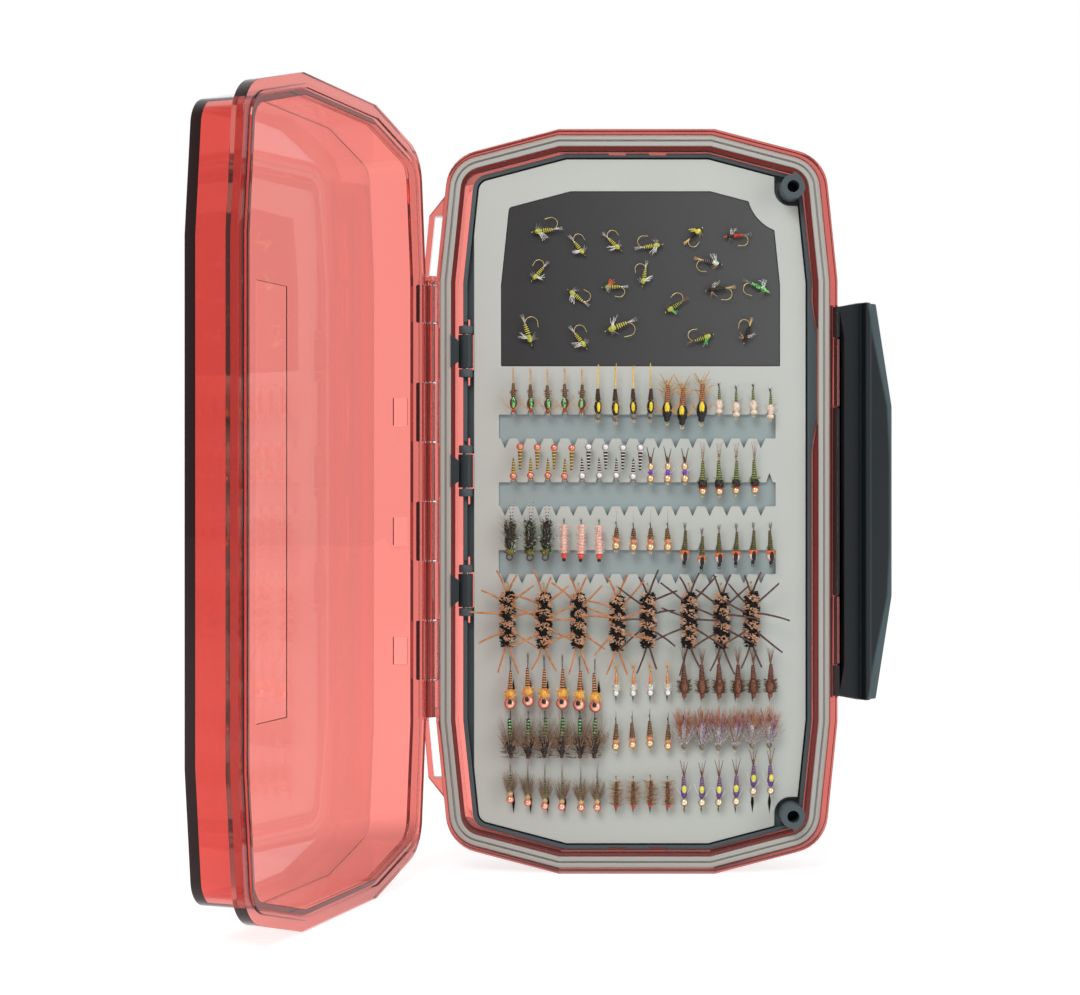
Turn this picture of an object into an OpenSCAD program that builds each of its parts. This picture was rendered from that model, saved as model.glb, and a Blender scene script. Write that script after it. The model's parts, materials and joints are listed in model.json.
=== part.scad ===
// Fly box with a hinged lid, a swing leaf and a folding latch, shown standing on one
// short end with its lid open. +Z runs along the case, +X towards the latch, and the
// base opens towards -Y. The origin is the centre of the base rim's bottom end face.
// Heights called "up" are measured from the middle of the case, and depths from the
// plane where lid and base meet: positive into the base, negative into the lid.

/* [Case] */
// Length of the case, end to end
case_len = 190; // [186:1:196]
// Width of the case across its straight sides
case_w = 102.4; // [100:0.2:108]
// Width of each flat end
end_flat = 39.8; // [30:0.2:44]
// Length of the straight part of each side
side_flat = 112.6; // [100:0.2:120]
// How far the corners stand in from the sides
corner_in = 3.2; // [2:0.1:6]
// How far the corners stand in from the ends
corner_drop = 7.4; // [5:0.1:10]
// Radius of the four corners
corner_r = 10; // [6:0.5:12]
// Depth of the base below the parting plane
base_depth = 22; // [21:0.5:30]
// Depth of the lid above the parting plane
lid_depth = 14.6; // [14:0.1:20]
// Thickness of the floor and of the lid's panel
panel_t = 2; // [1.5:0.1:2.5]

/* [Rim] */
// Depth of the base's rim flange
rim_d = 6; // [5.5:0.1:8]
// Thickness of the lid's rim flange
lid_rim_d = 3; // [2.5:0.1:4]
// Thickness of the rim outside the gasket, averaged over the two sides
rim_wall = 1.45; // [1.4:0.05:1.8]
// How far the gasket and the cavity sit towards the hinge
seal_shift = 0.5; // [0.3:0.05:0.55]
// Width of the gasket and its groove
gasket_w = 2.8; // [2.7:0.1:3]
// Depth of the gasket groove
groove_d = 3.4; // [3:0.1:3.6]
// Thickness of the wall inside the gasket
inner_wall = 1.1; // [1:0.1:1.4]
// How far the inner wall stops below the rim
inner_drop = 1.2; // [1:0.1:1.6]
// Wall thickness of the case behind its rims
wall = 2.1; // [1.8:0.1:2.4]
// Wall thickness of the lid behind its rim
lid_wall = 1.6; // [1.4:0.1:1.8]
// Width of one gasket rib
rib_w = 1.2; // [0.9:0.05:1.3]
// Height of one gasket rib
rib_h = 0.8; // [0.6:0.1:1]
// Gap between the gasket ribs and the lid's tongue
seal_gap = 0.3; // [0.2:0.05:0.5]
// Height of the lid's sealing tongue
tongue_h = 0.45; // [0.3:0.05:0.6]
// Width of the lid's sealing tongue
tongue_w = 1; // [0.8:0.1:1.4]

/* [Lid hinge] */
// Distance of the hinge axis outside the side of the case
hinge_out = 1.8; // [1.7:0.05:2.2]
// Outer radius of the hinge knuckles
knuckle_r = 2.2; // [2:0.05:2.25]
// Length of one hinge knuckle with its gap
knuckle_len = 15.12; // [14.6:0.02:15.6]
// Length of the two end knuckles
end_knuckle = 9.7; // [8:0.1:12]
// Length of the cap above the top knuckle
cap_len = 2.4; // [2:0.1:3]
// Radius of the lid's steel hinge pin
pin_r = 1; // [0.8:0.05:1.15]
// How far the lid stands open, in degrees
lid_open = 109; // [90:1:150]

/* [Lanyard loops] */
// Length of each loop's slot
slot_len = 15.5; // [10:0.5:18]
// Width of each loop's slot
slot_w = 2; // [1.6:0.1:2]
// Thickness of each loop's outer bar
loop_bar = 1.5; // [1.2:0.1:1.6]
// Length of the closed foot of each loop
loop_foot = 5; // [3:0.5:7]
// Depth of the loops, measured along the rim's depth
loop_d = 4; // [3:0.1:5]

/* [Latch] */
// Length of the latch along the case
latch_len = 100; // [90:1:104]
// Distance from the latch's axis to its edge at the middle
latch_reach = 20.8; // [18:0.2:22]
// Distance from the latch's axis to its edge at the ends
latch_end_reach = 15; // [13:0.1:17.5]
// How much further each end of the latch reaches beside its hook
latch_splay = 1.8; // [0:0.1:2]
// Length of the latch's straight middle edge
latch_middle = 50; // [40:1:60]
// Thickness of the latch
latch_t = 2; // [1.6:0.1:2.4]
// Depth of the latch's axis below the parting plane
latch_axis_d = 6.2; // [6:0.1:6.4]
// Distance of the latch's axis outside the side of the case
latch_out = 0.2; // [0:0.05:0.4]
// Radius of the latch's barrel and of the base's lugs
lug_r = 1.2; // [1.1:0.05:1.3]
// Length of each base lug
lug_len = 17.3; // [14:0.1:20]
// Distance from the case's middle to the near end of each lug
lug_start = 24.5; // [20:0.5:28]
// Radius of the latch's steel pin
latch_pin_r = 0.6; // [0.5:0.05:0.65]
// How far the latch's plate starts from the axis beside the lugs
lug_room = 3.1; // [2.6:0.1:3.6]
// How far the hook reaches over the lid's rim
hook_reach = 1.6; // [1:0.1:2]
// Thickness of the hook
hook_t = 1.8; // [1.2:0.1:2.2]
// How far the latch is folded back, in degrees
latch_open = 125; // [100:1:130]

/* [Swing leaf] */
// Thickness of the leaf
leaf_t = 6; // [5.6:0.1:7]
// Depth of the leaf's front face below the parting plane
leaf_d = 3.2; // [2.8:0.1:4]
// Width of the leaf's frame
frame_w = 1.1; // [0.9:0.1:1.6]
// Gap between the leaf's frame and its mats
mat_gap = 0.4; // [0.3:0.1:0.6]
// Thickness of the leaf's middle web
web_t = 1.2; // [1:0.1:1.6]
// How far the front and back mats stop below the frame's faces
mat_drop = 0.3; // [0.1:0.1:0.5]
// Gap between the leaf and the wall around it
leaf_gap = 0.35; // [0.3:0.05:0.6]
// Distance of the leaf's axis in front of its front face
leaf_axis_out = 0.2; // [0.1:0.05:0.3]
// Distance of the leaf's axis from the wall beside it
leaf_axis_gap = 2.6; // [2.4:0.05:2.8]
// Room beside the leaf's rail for it to swing
swing_room = 1.6; // [1.5:0.05:1.8]
// Width of the slots through the leaf beside its ears
ear_slot = 0.6; // [0.5:0.05:0.8]
// Width of the finger tab
tab_len = 22; // [16:1:30]
// Length of the finger tab's slope at each end
tab_taper = 8.7; // [5:0.1:10]
// Gap between the finger tab and the gasket
tab_gap = 0.3; // [0.25:0.05:0.5]
// Height of the finger tab's middle above the case's middle
tab_up = 32; // [20:1:40]

/* [Leaf clips] */
// Length of each clip
clip_len = 8.5; // [7:0.1:10]
// Radius of each clip's barrel
clip_r = 1.9; // [1.8:0.05:2]
// Distance between clips
clip_pitch = 30.6; // [28:0.1:32]
// Height of the middle clip above the case's middle
clip_up = 7.8; // [4:0.1:10]
// Length of each ear on the leaf
ear_len = 2; // [1.5:0.1:3]
// Radius of each ear on the leaf
ear_r = 1.75; // [1.6:0.05:1.8]
// Radius of each leaf pin
leaf_pin_r = 0.8; // [0.6:0.05:0.9]
// Thickness of a clip's saddle over the inner wall
saddle_t = 0.9; // [0.7:0.05:1]
// Width of a clip's saddle where it meets its barrel
saddle_w = 5; // [3:0.1:6]
// Thickness of the leg that joins a clip's saddle to its barrel
leg_t = 1; // [0.8:0.1:1.2]

/* [Corner bosses of the leaf] */
// Distance of each boss from the side of the case
boss_in = 11.6; // [11.2:0.1:12]
// Distance of each boss from the end of the case
boss_down = 15; // [14.4:0.1:16]
// Radius of each boss
boss_r = 3.1; // [2.8:0.05:3.3]
// How far each boss is squared off towards the corner
boss_square = 4.2; // [3.6:0.1:4.4]
// Radius of the blind hole in each boss
boss_hole_r = 1.5; // [1.2:0.05:1.7]
// How far each boss stands out of the leaf's front face
boss_rise = 5.8; // [3:0.1:7]
// Gap around each boss, cut in the mats
boss_gap = 1; // [0.6:0.1:1.4]
// Radius of the magnetic sheet's corner around the boss
sheet_notch_r = 11.2; // [9:0.1:13]

/* [Mats and flies] */
// Thickness of the mat on the floor of the base
floor_mat_t = 3; // [2:0.1:4]
// Width of the ledges that stop the leaf
ledge_w = 2; // [1.5:0.1:3]
// Length of the ledges that stop the leaf
ledge_len = 4; // [3:0.5:8]
// Distance of the ledges from the case's middle
ledge_up = 62; // [50:1:70]
// Distance of the first slit from the mats' hinge side
slit_start = 10.15; // [9.8:0.05:10.5]
// Distance of the last slit from the mats' latch side
slit_end = 9.3; // [9:0.1:9.6]
// Number of slits in a row
slit_count = 16; // [16:1:17]
// Length of one slit
slit_len = 5.5; // [4:0.1:6]
// Width of one slit, pressed open
slit_w = 0.8; // [0.8:0.05:1]
// Height of the lowest row of slits above the mats' lower end
row_start = 10.6; // [10:0.1:11]
// Distance between the two lowest rows of slits
low_row_pitch = 16; // [15.5:0.1:16.4]
// Distance between the rows of slits above them
row_pitch = 12.6; // [12.2:0.1:13]
// Height of the row of open slits above the rows below it
open_row_up = 14; // [13.7:0.1:14.5]
// Depth of the slits in the mats
slit_d = 1.7; // [1.2:0.1:1.8]
// Depth of the three trays in the front mat
tray_d = 1; // [0.6:0.1:1.2]
// Height of one tray
tray_h = 6.1; // [5:0.1:7]
// Distance between trays
tray_pitch = 17.4; // [17:0.1:18]
// Height of the lowest tray above the row of open slits
tray_up = 19; // [18.6:0.1:21]
// Depth of the notches between the tabs below a tray
notch_h = 2.5; // [1.5:0.1:2.6]
// Width of the notches between the tabs below a tray
notch_w = 2.2; // [1.5:0.1:2.8]
// Depth of the notches between the tabs above a tray
cusp_h = 2.4; // [1.5:0.1:2.6]
// Width of the notches between the tabs above a tray
cusp_w = 1.7; // [1:0.1:2]
// Height of the magnetic sheet's lower edge above the top tray
sheet_up = 15.5; // [15.4:0.1:18]
// Distance of the magnetic sheet from the outline of the case
sheet_in = 15.4; // [14.5:0.1:17]
// How far the magnetic sheet sits towards the latch
sheet_shift = 1.1; // [0:0.1:2]
// Length of a nymph
nymph_len = 14; // [12:0.1:14.2]
// Length of a nymph with rubber legs or a shaggy one
big_nymph_len = 14.5; // [13:0.1:14.6]
// Length of a nymph in the third row from below
mid_nymph_len = 13; // [11:0.1:13.2]
// Length of a slim nymph
slim_nymph_len = 12; // [10:0.1:12.4]
// Length of a short fly
short_fly_len = 10.5; // [9:0.1:10.8]
// Length of a stonefly
stonefly_len = 15; // [13:0.1:15.2]
// Length of a midge
midge_len = 6.5; // [5:0.1:6.8]
// Length of a fly on the magnetic sheet
sheet_fly_len = 5.5; // [4:0.1:6]
// Height of a fly's body above the mat
fly_h = 2.4; // [2.2:0.1:3]
// Radius of a fly's hook
hook_r = 0.35; // [0.3:0.01:0.35]

/* [Bare plate on the lid] */
// Width of the bare plate
plate_w = 15.5; // [12:0.5:20]
// Length of the bare plate
plate_len = 99.8; // [80:1:110]
// Distance of the plate's middle towards the latch
plate_x = 9.15; // [0:0.5:12]
// Depth of the plate's recess
plate_d = 0.4; // [0.2:0.1:0.6]

/* [Hidden] */
$fn = 48;
arc_steps = 8;
eps = 0.01;
past = 1;            // how far a cut runs past a face
run_gap = 0.05;      // radial clearance of a pin in its bore
knuckle_gap = 0.3;   // gap between neighbouring knuckles
swing_gap = 0.2;     // radial clearance around a barrel that turns
shell_gap = 0.4;     // clearance between a moving piece and the latch side
hook_gap = 0.15;     // clearance between the hook and the lid's rim
seat_gap = 0.03;     // clearance between the closed lid's rim and the base's

mid = case_len / 2;
rim_y = -rim_d / 2;
half_w = case_w / 2;
groove_in = rim_wall;
inner_in = rim_wall + gasket_w;
cavity_in = inner_in + inner_wall;
body_in = cavity_in - wall;
lid_cavity_in = body_in + lid_wall;
hinge_x = -half_w - hinge_out;
latch_x = half_w + latch_out;
knuckles_up = [for (i = [0:6]) (i - 3) * knuckle_len];
leaf_in = cavity_in + leaf_gap;
cavity_left = -half_w + cavity_in - seal_shift;
cavity_right = half_w - cavity_in - seal_shift;
leaf_right = half_w - leaf_in - seal_shift;
leaf_axis_x = cavity_left + leaf_axis_gap;
leaf_axis_d = leaf_d - leaf_axis_out;
leaf_left = cavity_left + leaf_gap + swing_room;
mat_left = leaf_axis_x + clip_r + swing_gap;
web_d = leaf_d + (leaf_t - web_t) / 2;
mat_d = leaf_d + mat_drop;
boss_x = half_w - boss_in;
boss_up = mid - boss_down;
clips_up = [for (i = [-1:1]) clip_up + i * clip_pitch];
clear_in = 0.1;      // gap around the magnetic sheet
sheet_drop = 0.3;    // how far the magnetic sheet lies below the mat's face

mat_right = leaf_right - frame_w - mat_gap;
mat_low = leaf_in + frame_w + mat_gap - mid;
first_slit_x = mat_left + slit_start;
slit_pitch = (mat_right - slit_end - first_slit_x) / (slit_count - 1);
slit_rows_up = [for (gap = [0, low_row_pitch, low_row_pitch + row_pitch])
                mat_low + row_start + gap];
open_row = slit_rows_up[2] + open_row_up;
trays_up = [for (i = [0:2]) open_row + tray_up + i * tray_pitch];
sheet_low = trays_up[2] + sheet_up;
sheet_top = mid - sheet_in;
sheet_half = half_w - sheet_in;

// The rows of flies, from the lowest up, and how far each row's bodies sit above its slits
rows_up = concat(slit_rows_up, [open_row], trays_up);
fly_lifts = [5.4, 2.6, 2.6, 4.6, 6.6, 8.4, 8.6];
midge_lifts = [8.8, 9.4];

// The case's outline, clockwise from the top left, each point with its corner radius
case_points = [
    [-end_flat / 2, mid, 0], [end_flat / 2, mid, 0],
    [half_w - corner_in, mid - corner_drop, corner_r], [half_w, side_flat / 2, 0],
    [half_w, -side_flat / 2, 0], [half_w - corner_in, corner_drop - mid, corner_r],
    [end_flat / 2, -mid, 0], [-end_flat / 2, -mid, 0],
    [corner_in - half_w, corner_drop - mid, corner_r], [-half_w, -side_flat / 2, 0],
    [-half_w, side_flat / 2, 0], [corner_in - half_w, mid - corner_drop, corner_r]
];

function xz(p) = [p[0], p[1]];
function right_of(a, b) = let (d = (b - a) / norm(b - a)) [d[1], -d[0]];
function miter(n1, n2) = (n1 + n2) / (1 + n1 * n2);
function rounded(v, n1, n2, r) =
    let (c = v + miter(n1, n2) * r,
         a1 = atan2(-n1[1], -n1[0]),
         a2 = atan2(-n2[1], -n2[0]),
         turn = a2 > a1 ? a2 - a1 - 360 : a2 - a1)
    [for (i = [0:arc_steps]) let (a = a1 + turn * i / arc_steps) c + r * [cos(a), sin(a)]];

// The outline moved inwards by a distance, with its corners kept parallel
function outline(inset) =
    let (n = len(case_points))
    [for (i = [0:n - 1])
        let (p = case_points[i],
             v = xz(p),
             n1 = right_of(xz(case_points[(i + n - 1) % n]), v),
             n2 = right_of(v, xz(case_points[(i + 1) % n])),
             w = v + miter(n1, n2) * inset,
             r = p[2] > 0 ? max(p[2] - inset, 1) : 0)
        each (r > 0 ? rounded(w, n1, n2, r) : [w])];

function depth(d) = rim_y + d;
function slit_x(i) = first_slit_x + i * slit_pitch;

// The same outline for the seal and the cavity, which sit a little towards the hinge
function seat(inset) = [for (p = outline(inset)) p - [seal_shift, 0]];

// A flat outline in X and "up", made solid between two depths
module plate(d1, d2) {
    translate([0, depth(d2), mid]) rotate([90, 0, 0]) linear_extrude(d2 - d1) children();
}

// An upright rod between two heights
module rod(x, d, up1, up2, r) {
    translate([x, depth(d), mid + up1]) cylinder(h = up2 - up1, r = r);
}

// A rod that stands out of the floor or the lid, along the depth
module post(x, up, d1, d2, r) {
    translate([x, depth(d2), mid + up]) rotate([90, 0, 0]) cylinder(h = d2 - d1, r = r);
}

module block(x1, x2, d1, d2, up1, up2) {
    translate([x1, depth(d1), mid + up1]) cube([x2 - x1, d2 - d1, up2 - up1]);
}

module band(inset1, inset2) {
    difference() {
        polygon(seat(inset1));
        polygon(seat(inset2));
    }
}

// Turns what is drawn closed about an upright axis
module swing(x, d, angle) {
    translate([x, depth(d), 0]) rotate([0, 0, angle]) translate([-x, -depth(d), 0]) children();
}

// Knuckles count upwards from the lowest: the base has the even ones, the lid the odd
function knuckle_up(i) = i == 0 ? [-2.5 * knuckle_len - end_knuckle - knuckle_len / 2,
                                   -3 * knuckle_len]
                       : i == 7 ? [3 * knuckle_len, 3 * knuckle_len + end_knuckle]
                       : [knuckles_up[i - 1], knuckles_up[i]];
base_knuckles = [for (i = [0:2:6]) knuckle_up(i)];
lid_knuckles = [for (i = [1:2:7]) knuckle_up(i)];
hinge_top = 3 * knuckle_len + end_knuckle;
hinge_bottom = -hinge_top;
cap = [hinge_top, hinge_top + cap_len];

module knuckle(span, side) {
    gap = knuckle_gap / 2;
    rod(hinge_x, 0, span[0] + gap, span[1] - gap, knuckle_r);
    block(hinge_x, -half_w + rim_wall / 2, min(0, side * knuckle_r), max(0, side * knuckle_r),
          span[0] + gap, span[1] - gap);
}

module knuckle_relief(span) {
    rod(hinge_x, 0, span[0] - knuckle_gap / 2, span[1] + knuckle_gap / 2, knuckle_r + swing_gap);
}

// A point beside the slanted left edge: how far up, and how far outside the edge
function beside_edge(up, out) =
    let (rise = abs(up) - side_flat / 2,
         slope = corner_in / (mid - corner_drop - side_flat / 2))
    [-half_w + max(rise, 0) * slope - out, up];

// One lanyard loop: a bar beside the case's slanted edge, with a slot behind it
module loop(side) {
    start = side > 0 ? cap[1] : hinge_top;
    end = start + slot_len;
    depth_start = (rim_d - loop_d) / 3;
    plate(depth_start, depth_start + loop_d) difference() {
        polygon([for (p = [[start - cap_len + knuckle_gap, -rim_wall],
                           [start - cap_len + knuckle_gap, slot_w + loop_bar],
                           [end, slot_w + loop_bar], [end + loop_foot, 0],
                           [end + loop_foot, -rim_wall]])
                 beside_edge(side * p[0], p[1])]);
        polygon([for (p = [[start, 0], [start, slot_w], [end, slot_w], [end, 0]])
                 beside_edge(side * p[0], p[1])]);
    }
}

module lug_spans(grow) {
    for (side = [-1, 1])
        let (near = side * lug_start, far = side * (lug_start + lug_len))
        rod(latch_x, latch_axis_d, min(near, far) - grow, max(near, far) + grow, lug_r + grow);
}

// The finger tab's outline, from the leaf out to near the gasket
module tab_outline(grow, gap) {
    end = half_w - inner_in - seal_shift - gap;
    polygon([[leaf_right - frame_w, tab_up - tab_len / 2 - tab_taper - grow],
             [leaf_right, tab_up - tab_len / 2 - tab_taper - grow],
             [end, tab_up - tab_len / 2 - grow], [end, tab_up + tab_len / 2 + grow],
             [leaf_right, tab_up + tab_len / 2 + tab_taper + grow],
             [leaf_right - frame_w, tab_up + tab_len / 2 + tab_taper + grow]]);
}

module base_shell() {
    floor_d = base_depth - panel_t;
    color([0.86, 0.3, 0.27, 0.5]) {
        difference() {
            union() {
                plate(0, rim_d) polygon(outline(0));
                plate(rim_d - past, base_depth) polygon(seat(body_in));
                for (span = base_knuckles) knuckle(span, 1);
                knuckle(cap, 1);
                for (side = [-1, 1]) loop(side);
                lug_spans(0);
                for (side = [-1, 1])
                    block(half_w - rim_wall, latch_x, latch_axis_d - lug_r, latch_axis_d,
                          side > 0 ? lug_start : -lug_start - lug_len,
                          side > 0 ? lug_start + lug_len : -lug_start);
            }
            plate(-past, floor_d) polygon(seat(cavity_in));
            plate(-past, groove_d) band(groove_in, inner_in);
            plate(-past, inner_drop) polygon(seat(groove_in));
            for (span = lid_knuckles) knuckle_relief(span);
            rod(hinge_x, 0, hinge_bottom - past, cap[0] + cap_len / 2, pin_r + run_gap);
            rod(latch_x, latch_axis_d, -latch_len / 2, latch_len / 2, latch_pin_r + run_gap);
            latch_relief();
            plate(-past, web_d + tab_gap) tab_outline(4 * tab_gap, 0);
        }
        for (up = [-ledge_up, ledge_up])
            block(cavity_right - ledge_w, cavity_right + eps, leaf_d + leaf_t + run_gap,
                  floor_d + eps, up - ledge_len / 2, up + ledge_len / 2);
    }
}

// Room for the latch's barrels, between and beyond the base's lugs
module latch_relief() {
    ends = [[-latch_len / 2 - knuckle_gap, -lug_start - lug_len],
            [-lug_start, lug_start],
            [lug_start + lug_len, latch_len / 2 + knuckle_gap]];
    for (e = ends)
        rod(latch_x, latch_axis_d, e[0], e[1], lug_r + swing_gap);
}

// The gasket: a flat strip in the groove with two ribs
module base_gasket() {
    rib_d = tongue_h + seal_gap;
    color([0.7, 0.69, 0.67]) {
        plate(rib_d + rib_h, groove_d) band(groove_in, inner_in);
        plate(rib_d, rib_d + rib_h) band(groove_in, groove_in + rib_w);
        plate(rib_d, rib_d + rib_h) band(inner_in - rib_w, inner_in);
    }
}

module slit_row(up, count, pitch, d1, d2) {
    plate(d1, d2)
        for (i = [0:count - 1])
            translate([first_slit_x + i * pitch, up])
                polygon([[0, slit_len / 2], [slit_w / 2, 0], [0, -slit_len / 2], [-slit_w / 2, 0]]);
}

// The corners that the leaf's bosses take from the mats
module boss_notches() {
    r = boss_r + boss_gap;
    for (side = [-1, 1]) {
        translate([boss_x, side * boss_up]) circle(r = r);
        translate([boss_x - r, side > 0 ? boss_up : -mid]) square([half_w, mid - boss_up]);
        translate([boss_x, side > 0 ? boss_up - r : -mid]) square([half_w, mid - boss_up + r]);
    }
}

module base_mat() {
    mat_in = cavity_in + leaf_gap;
    front = base_depth - panel_t - floor_mat_t;
    color([0.74, 0.75, 0.73])
        difference() {
            plate(front, base_depth - panel_t)
                intersection() {
                    polygon(seat(mat_in));
                    translate([mat_left, -mid])
                        square([cavity_right - ledge_w - leaf_gap - mat_left, case_len]);
                }
            for (up = [-70:17.5:70])
                slit_row(up, slit_count, slit_pitch, front - past, front + floor_mat_t / 2);
        }
}

module lid_closed() {
    cavity_d = lid_depth - panel_t;
    pocket_len = 7.1;
    pocket_w = 3.9;
    pocket_start = 3.5;
    pocket_deep = 0.8;
    pocket_x = -half_w + lid_cavity_in - seal_shift;
    tongue_in = groove_in + (gasket_w - tongue_w) / 2;
    difference() {
        union() {
            plate(-lid_rim_d, -seat_gap) polygon(outline(0));
            plate(-lid_depth, -lid_rim_d + past) polygon(seat(body_in));
            plate(-seat_gap - eps, tongue_h) band(tongue_in, tongue_in + tongue_w);
            for (span = lid_knuckles) knuckle(span, -1);
        }
        plate(-cavity_d, past) polygon(seat(lid_cavity_in));
        for (span = base_knuckles) knuckle_relief(span);
        knuckle_relief(cap);
        rod(hinge_x, 0, hinge_bottom, hinge_top, pin_r + run_gap);
        plate(-lid_depth - past, plate_d - lid_depth)
            translate([plate_x - plate_w / 2, -plate_len / 2]) square([plate_w, plate_len]);
        for (i = [0:2])
            let (up = (lid_knuckles[i][0] + lid_knuckles[i][1]) / 2)
            block(pocket_x - pocket_deep, pocket_x + eps,
                  -pocket_start - pocket_w, -pocket_start, up - pocket_len / 2, up + pocket_len / 2);
    }
}

module lid_shell() {
    color([0.9, 0.42, 0.38, 0.45]) swing(hinge_x, 0, -lid_open) lid_closed();
}

module lid_hinge_pin() {
    end_gap = 0.2;
    color("silver")
        rod(hinge_x, 0, hinge_bottom + end_gap, cap[0] + cap_len / 2 - end_gap, pin_r);
}

// The latch as it lies when closed: a plate beside the rims, its barrels and its hook
module latch_closed() {
    inner = half_w + shell_gap;
    half = latch_len / 2;
    wide = half + latch_splay;
    reach_d = latch_axis_d - latch_reach;
    end_d = latch_axis_d - latch_end_reach;
    hook_d = -lid_rim_d - hook_gap;
    difference() {
        union() {
            translate([inner, 0, mid]) rotate([90, 0, 90]) linear_extrude(latch_t)
                polygon([[depth(latch_axis_d), -half], [depth(hook_d), -wide],
                         [depth(end_d), -wide], [depth(reach_d), -latch_middle / 2],
                         [depth(reach_d), latch_middle / 2], [depth(end_d), wide],
                         [depth(hook_d), wide], [depth(latch_axis_d), half]]);
            rod(latch_x, latch_axis_d, -half, half, lug_r);
            block(half_w - hook_reach, inner + eps, hook_d - hook_t, hook_d, -wide, wide);
        }
        rod(latch_x, latch_axis_d, -half - past, half + past, latch_pin_r + run_gap);
        for (side = [-1, 1])
            block(half_w - past, inner + latch_t + past, latch_axis_d - lug_room,
                  latch_axis_d + lug_r + past,
                  (side > 0 ? lug_start : -lug_start - lug_len) - knuckle_gap,
                  (side > 0 ? lug_start + lug_len : -lug_start) + knuckle_gap);
    }
}

module latch() {
    color([0.16, 0.2, 0.21]) swing(latch_x, latch_axis_d, latch_open) latch_closed();
}

module latch_pin() {
    color("silver") rod(latch_x, latch_axis_d, -latch_len / 2 + past, latch_len / 2 - past, latch_pin_r);
}

// The leaf's outline: the cavity's, moved in by its gap and by more on the hinge side
module leaf_outline(inset) {
    intersection() {
        polygon(seat(leaf_in + inset));
        translate([swing_room, 0]) polygon(seat(leaf_in + inset));
    }
}

// The outline of the leaf's mats, inside its frame and around its bosses
module mat_outline() {
    difference() {
        intersection() {
            leaf_outline(frame_w + mat_gap);
            translate([mat_left, -mid]) square([case_w, case_len]);
        }
        boss_notches();
    }
}

// A boss in a corner of the leaf, squared off towards the corner of the case
module boss_outline(side) {
    intersection() {
        polygon(seat(leaf_in));
        union() {
            translate([boss_x, side * boss_up]) circle(r = boss_r);
            translate([boss_x, side > 0 ? boss_up : -boss_up - boss_square]) square(boss_square);
        }
    }
}

// The pockets for the leaf's mats, which leave its bosses standing
module pocket_outline() {
    difference() {
        leaf_outline(frame_w);
        for (side = [-1, 1]) boss_outline(side);
    }
}

// The leaf's moulded frame, with the web between its mats, its ears and its finger tab
module leaf_frame() {
    end_slot_w = 4.4;
    end_slot_x = [-4.8, 5.5];
    end_slot_t = 0.5;
    ear_at = clip_len / 2 + knuckle_gap;
    slot_x = leaf_left + frame_w;
    color([0.3, 0.35, 0.36])
        difference() {
            union() {
                difference() {
                    plate(leaf_d, leaf_d + leaf_t) leaf_outline(0);
                    plate(leaf_d - past, web_d) pocket_outline();
                    plate(web_d + web_t, leaf_d + leaf_t + past) pocket_outline();
                    for (up = clips_up)
                        block(slot_x, slot_x + ear_slot, web_d - past, leaf_d + leaf_t + past,
                              up - ear_at - 2 * ear_len, up + ear_at + 2 * ear_len);
                }
                plate(leaf_d, web_d) difference() {
                    tab_outline(0, tab_gap);
                    leaf_outline(frame_w);
                }
                for (side = [-1, 1])
                    plate(leaf_d - boss_rise, leaf_d + leaf_t) boss_outline(side);
                for (up = clips_up, side = [-1, 1])
                    let (near = up + side * ear_at, far = near + side * ear_len)
                    rod(leaf_axis_x, leaf_axis_d, min(near, far), max(near, far), ear_r);
            }
            for (side = [-1, 1])
                post(boss_x, side * boss_up, leaf_d - boss_rise - past, web_d + web_t, boss_hole_r);
            for (up = clips_up)
                block(leaf_axis_x - 2 * clip_r, mat_left, leaf_d - past, leaf_d + leaf_t + past,
                      up - ear_at, up + ear_at);
            for (up = clips_up)
                rod(leaf_axis_x, leaf_axis_d, up - ear_at - ear_len - past,
                    up + ear_at + ear_len + past, leaf_pin_r);
            for (x = end_slot_x, side = [-1, 1])
                plate(leaf_d - past, leaf_d + leaf_t + past)
                    translate([x - end_slot_w / 2, side > 0 ? mid - leaf_in - end_slot_t : -mid])
                        square([end_slot_w, leaf_in + end_slot_t]);
        }
}

// The magnetic sheet's window, which follows the outline of the case
module sheet_window(inset) {
    difference() {
        intersection() {
            translate([sheet_shift, 0]) polygon(outline(sheet_in + inset));
            translate([-half_w, sheet_low + inset]) square([case_w, mid]);
        }
        translate([boss_x, boss_up]) circle(r = sheet_notch_r + inset);
    }
}

// One tray of the front mat, with notches between the tabs below it and above it
module tray_outline() {
    left = slit_x(0) - slit_pitch * 0.85;
    right = slit_x(slit_count - 1) + slit_pitch * 0.35;
    translate([left, -tray_h / 2]) square([right - left, tray_h]);
    for (i = [0:slit_count - 1])
        translate([slit_x(i) - slit_pitch / 2, -tray_h / 2])
            polygon([[-notch_w / 2, 0], [0, -notch_h], [notch_w / 2, 0], [0, eps]]);
    for (i = [0:slit_count - 1])
        translate([slit_x(i), tray_h / 2])
            polygon([[-cusp_w / 2, 0], [0, cusp_h], [cusp_w / 2, 0], [0, -eps]]);
}

module leaf_front_mat() {
    color([0.74, 0.77, 0.74])
        difference() {
            plate(mat_d, web_d) difference() {
                mat_outline();
                sheet_window(0);
            }
            for (up = trays_up)
                plate(mat_d - past, mat_d + tray_d) translate([0, up]) tray_outline();
            slit_row(open_row, slit_count / 2, 2 * slit_pitch, mat_d - past, mat_d + slit_d);
            for (up = slit_rows_up)
                slit_row(up, slit_count, slit_pitch, mat_d - past, mat_d + slit_d);
        }
}

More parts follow.
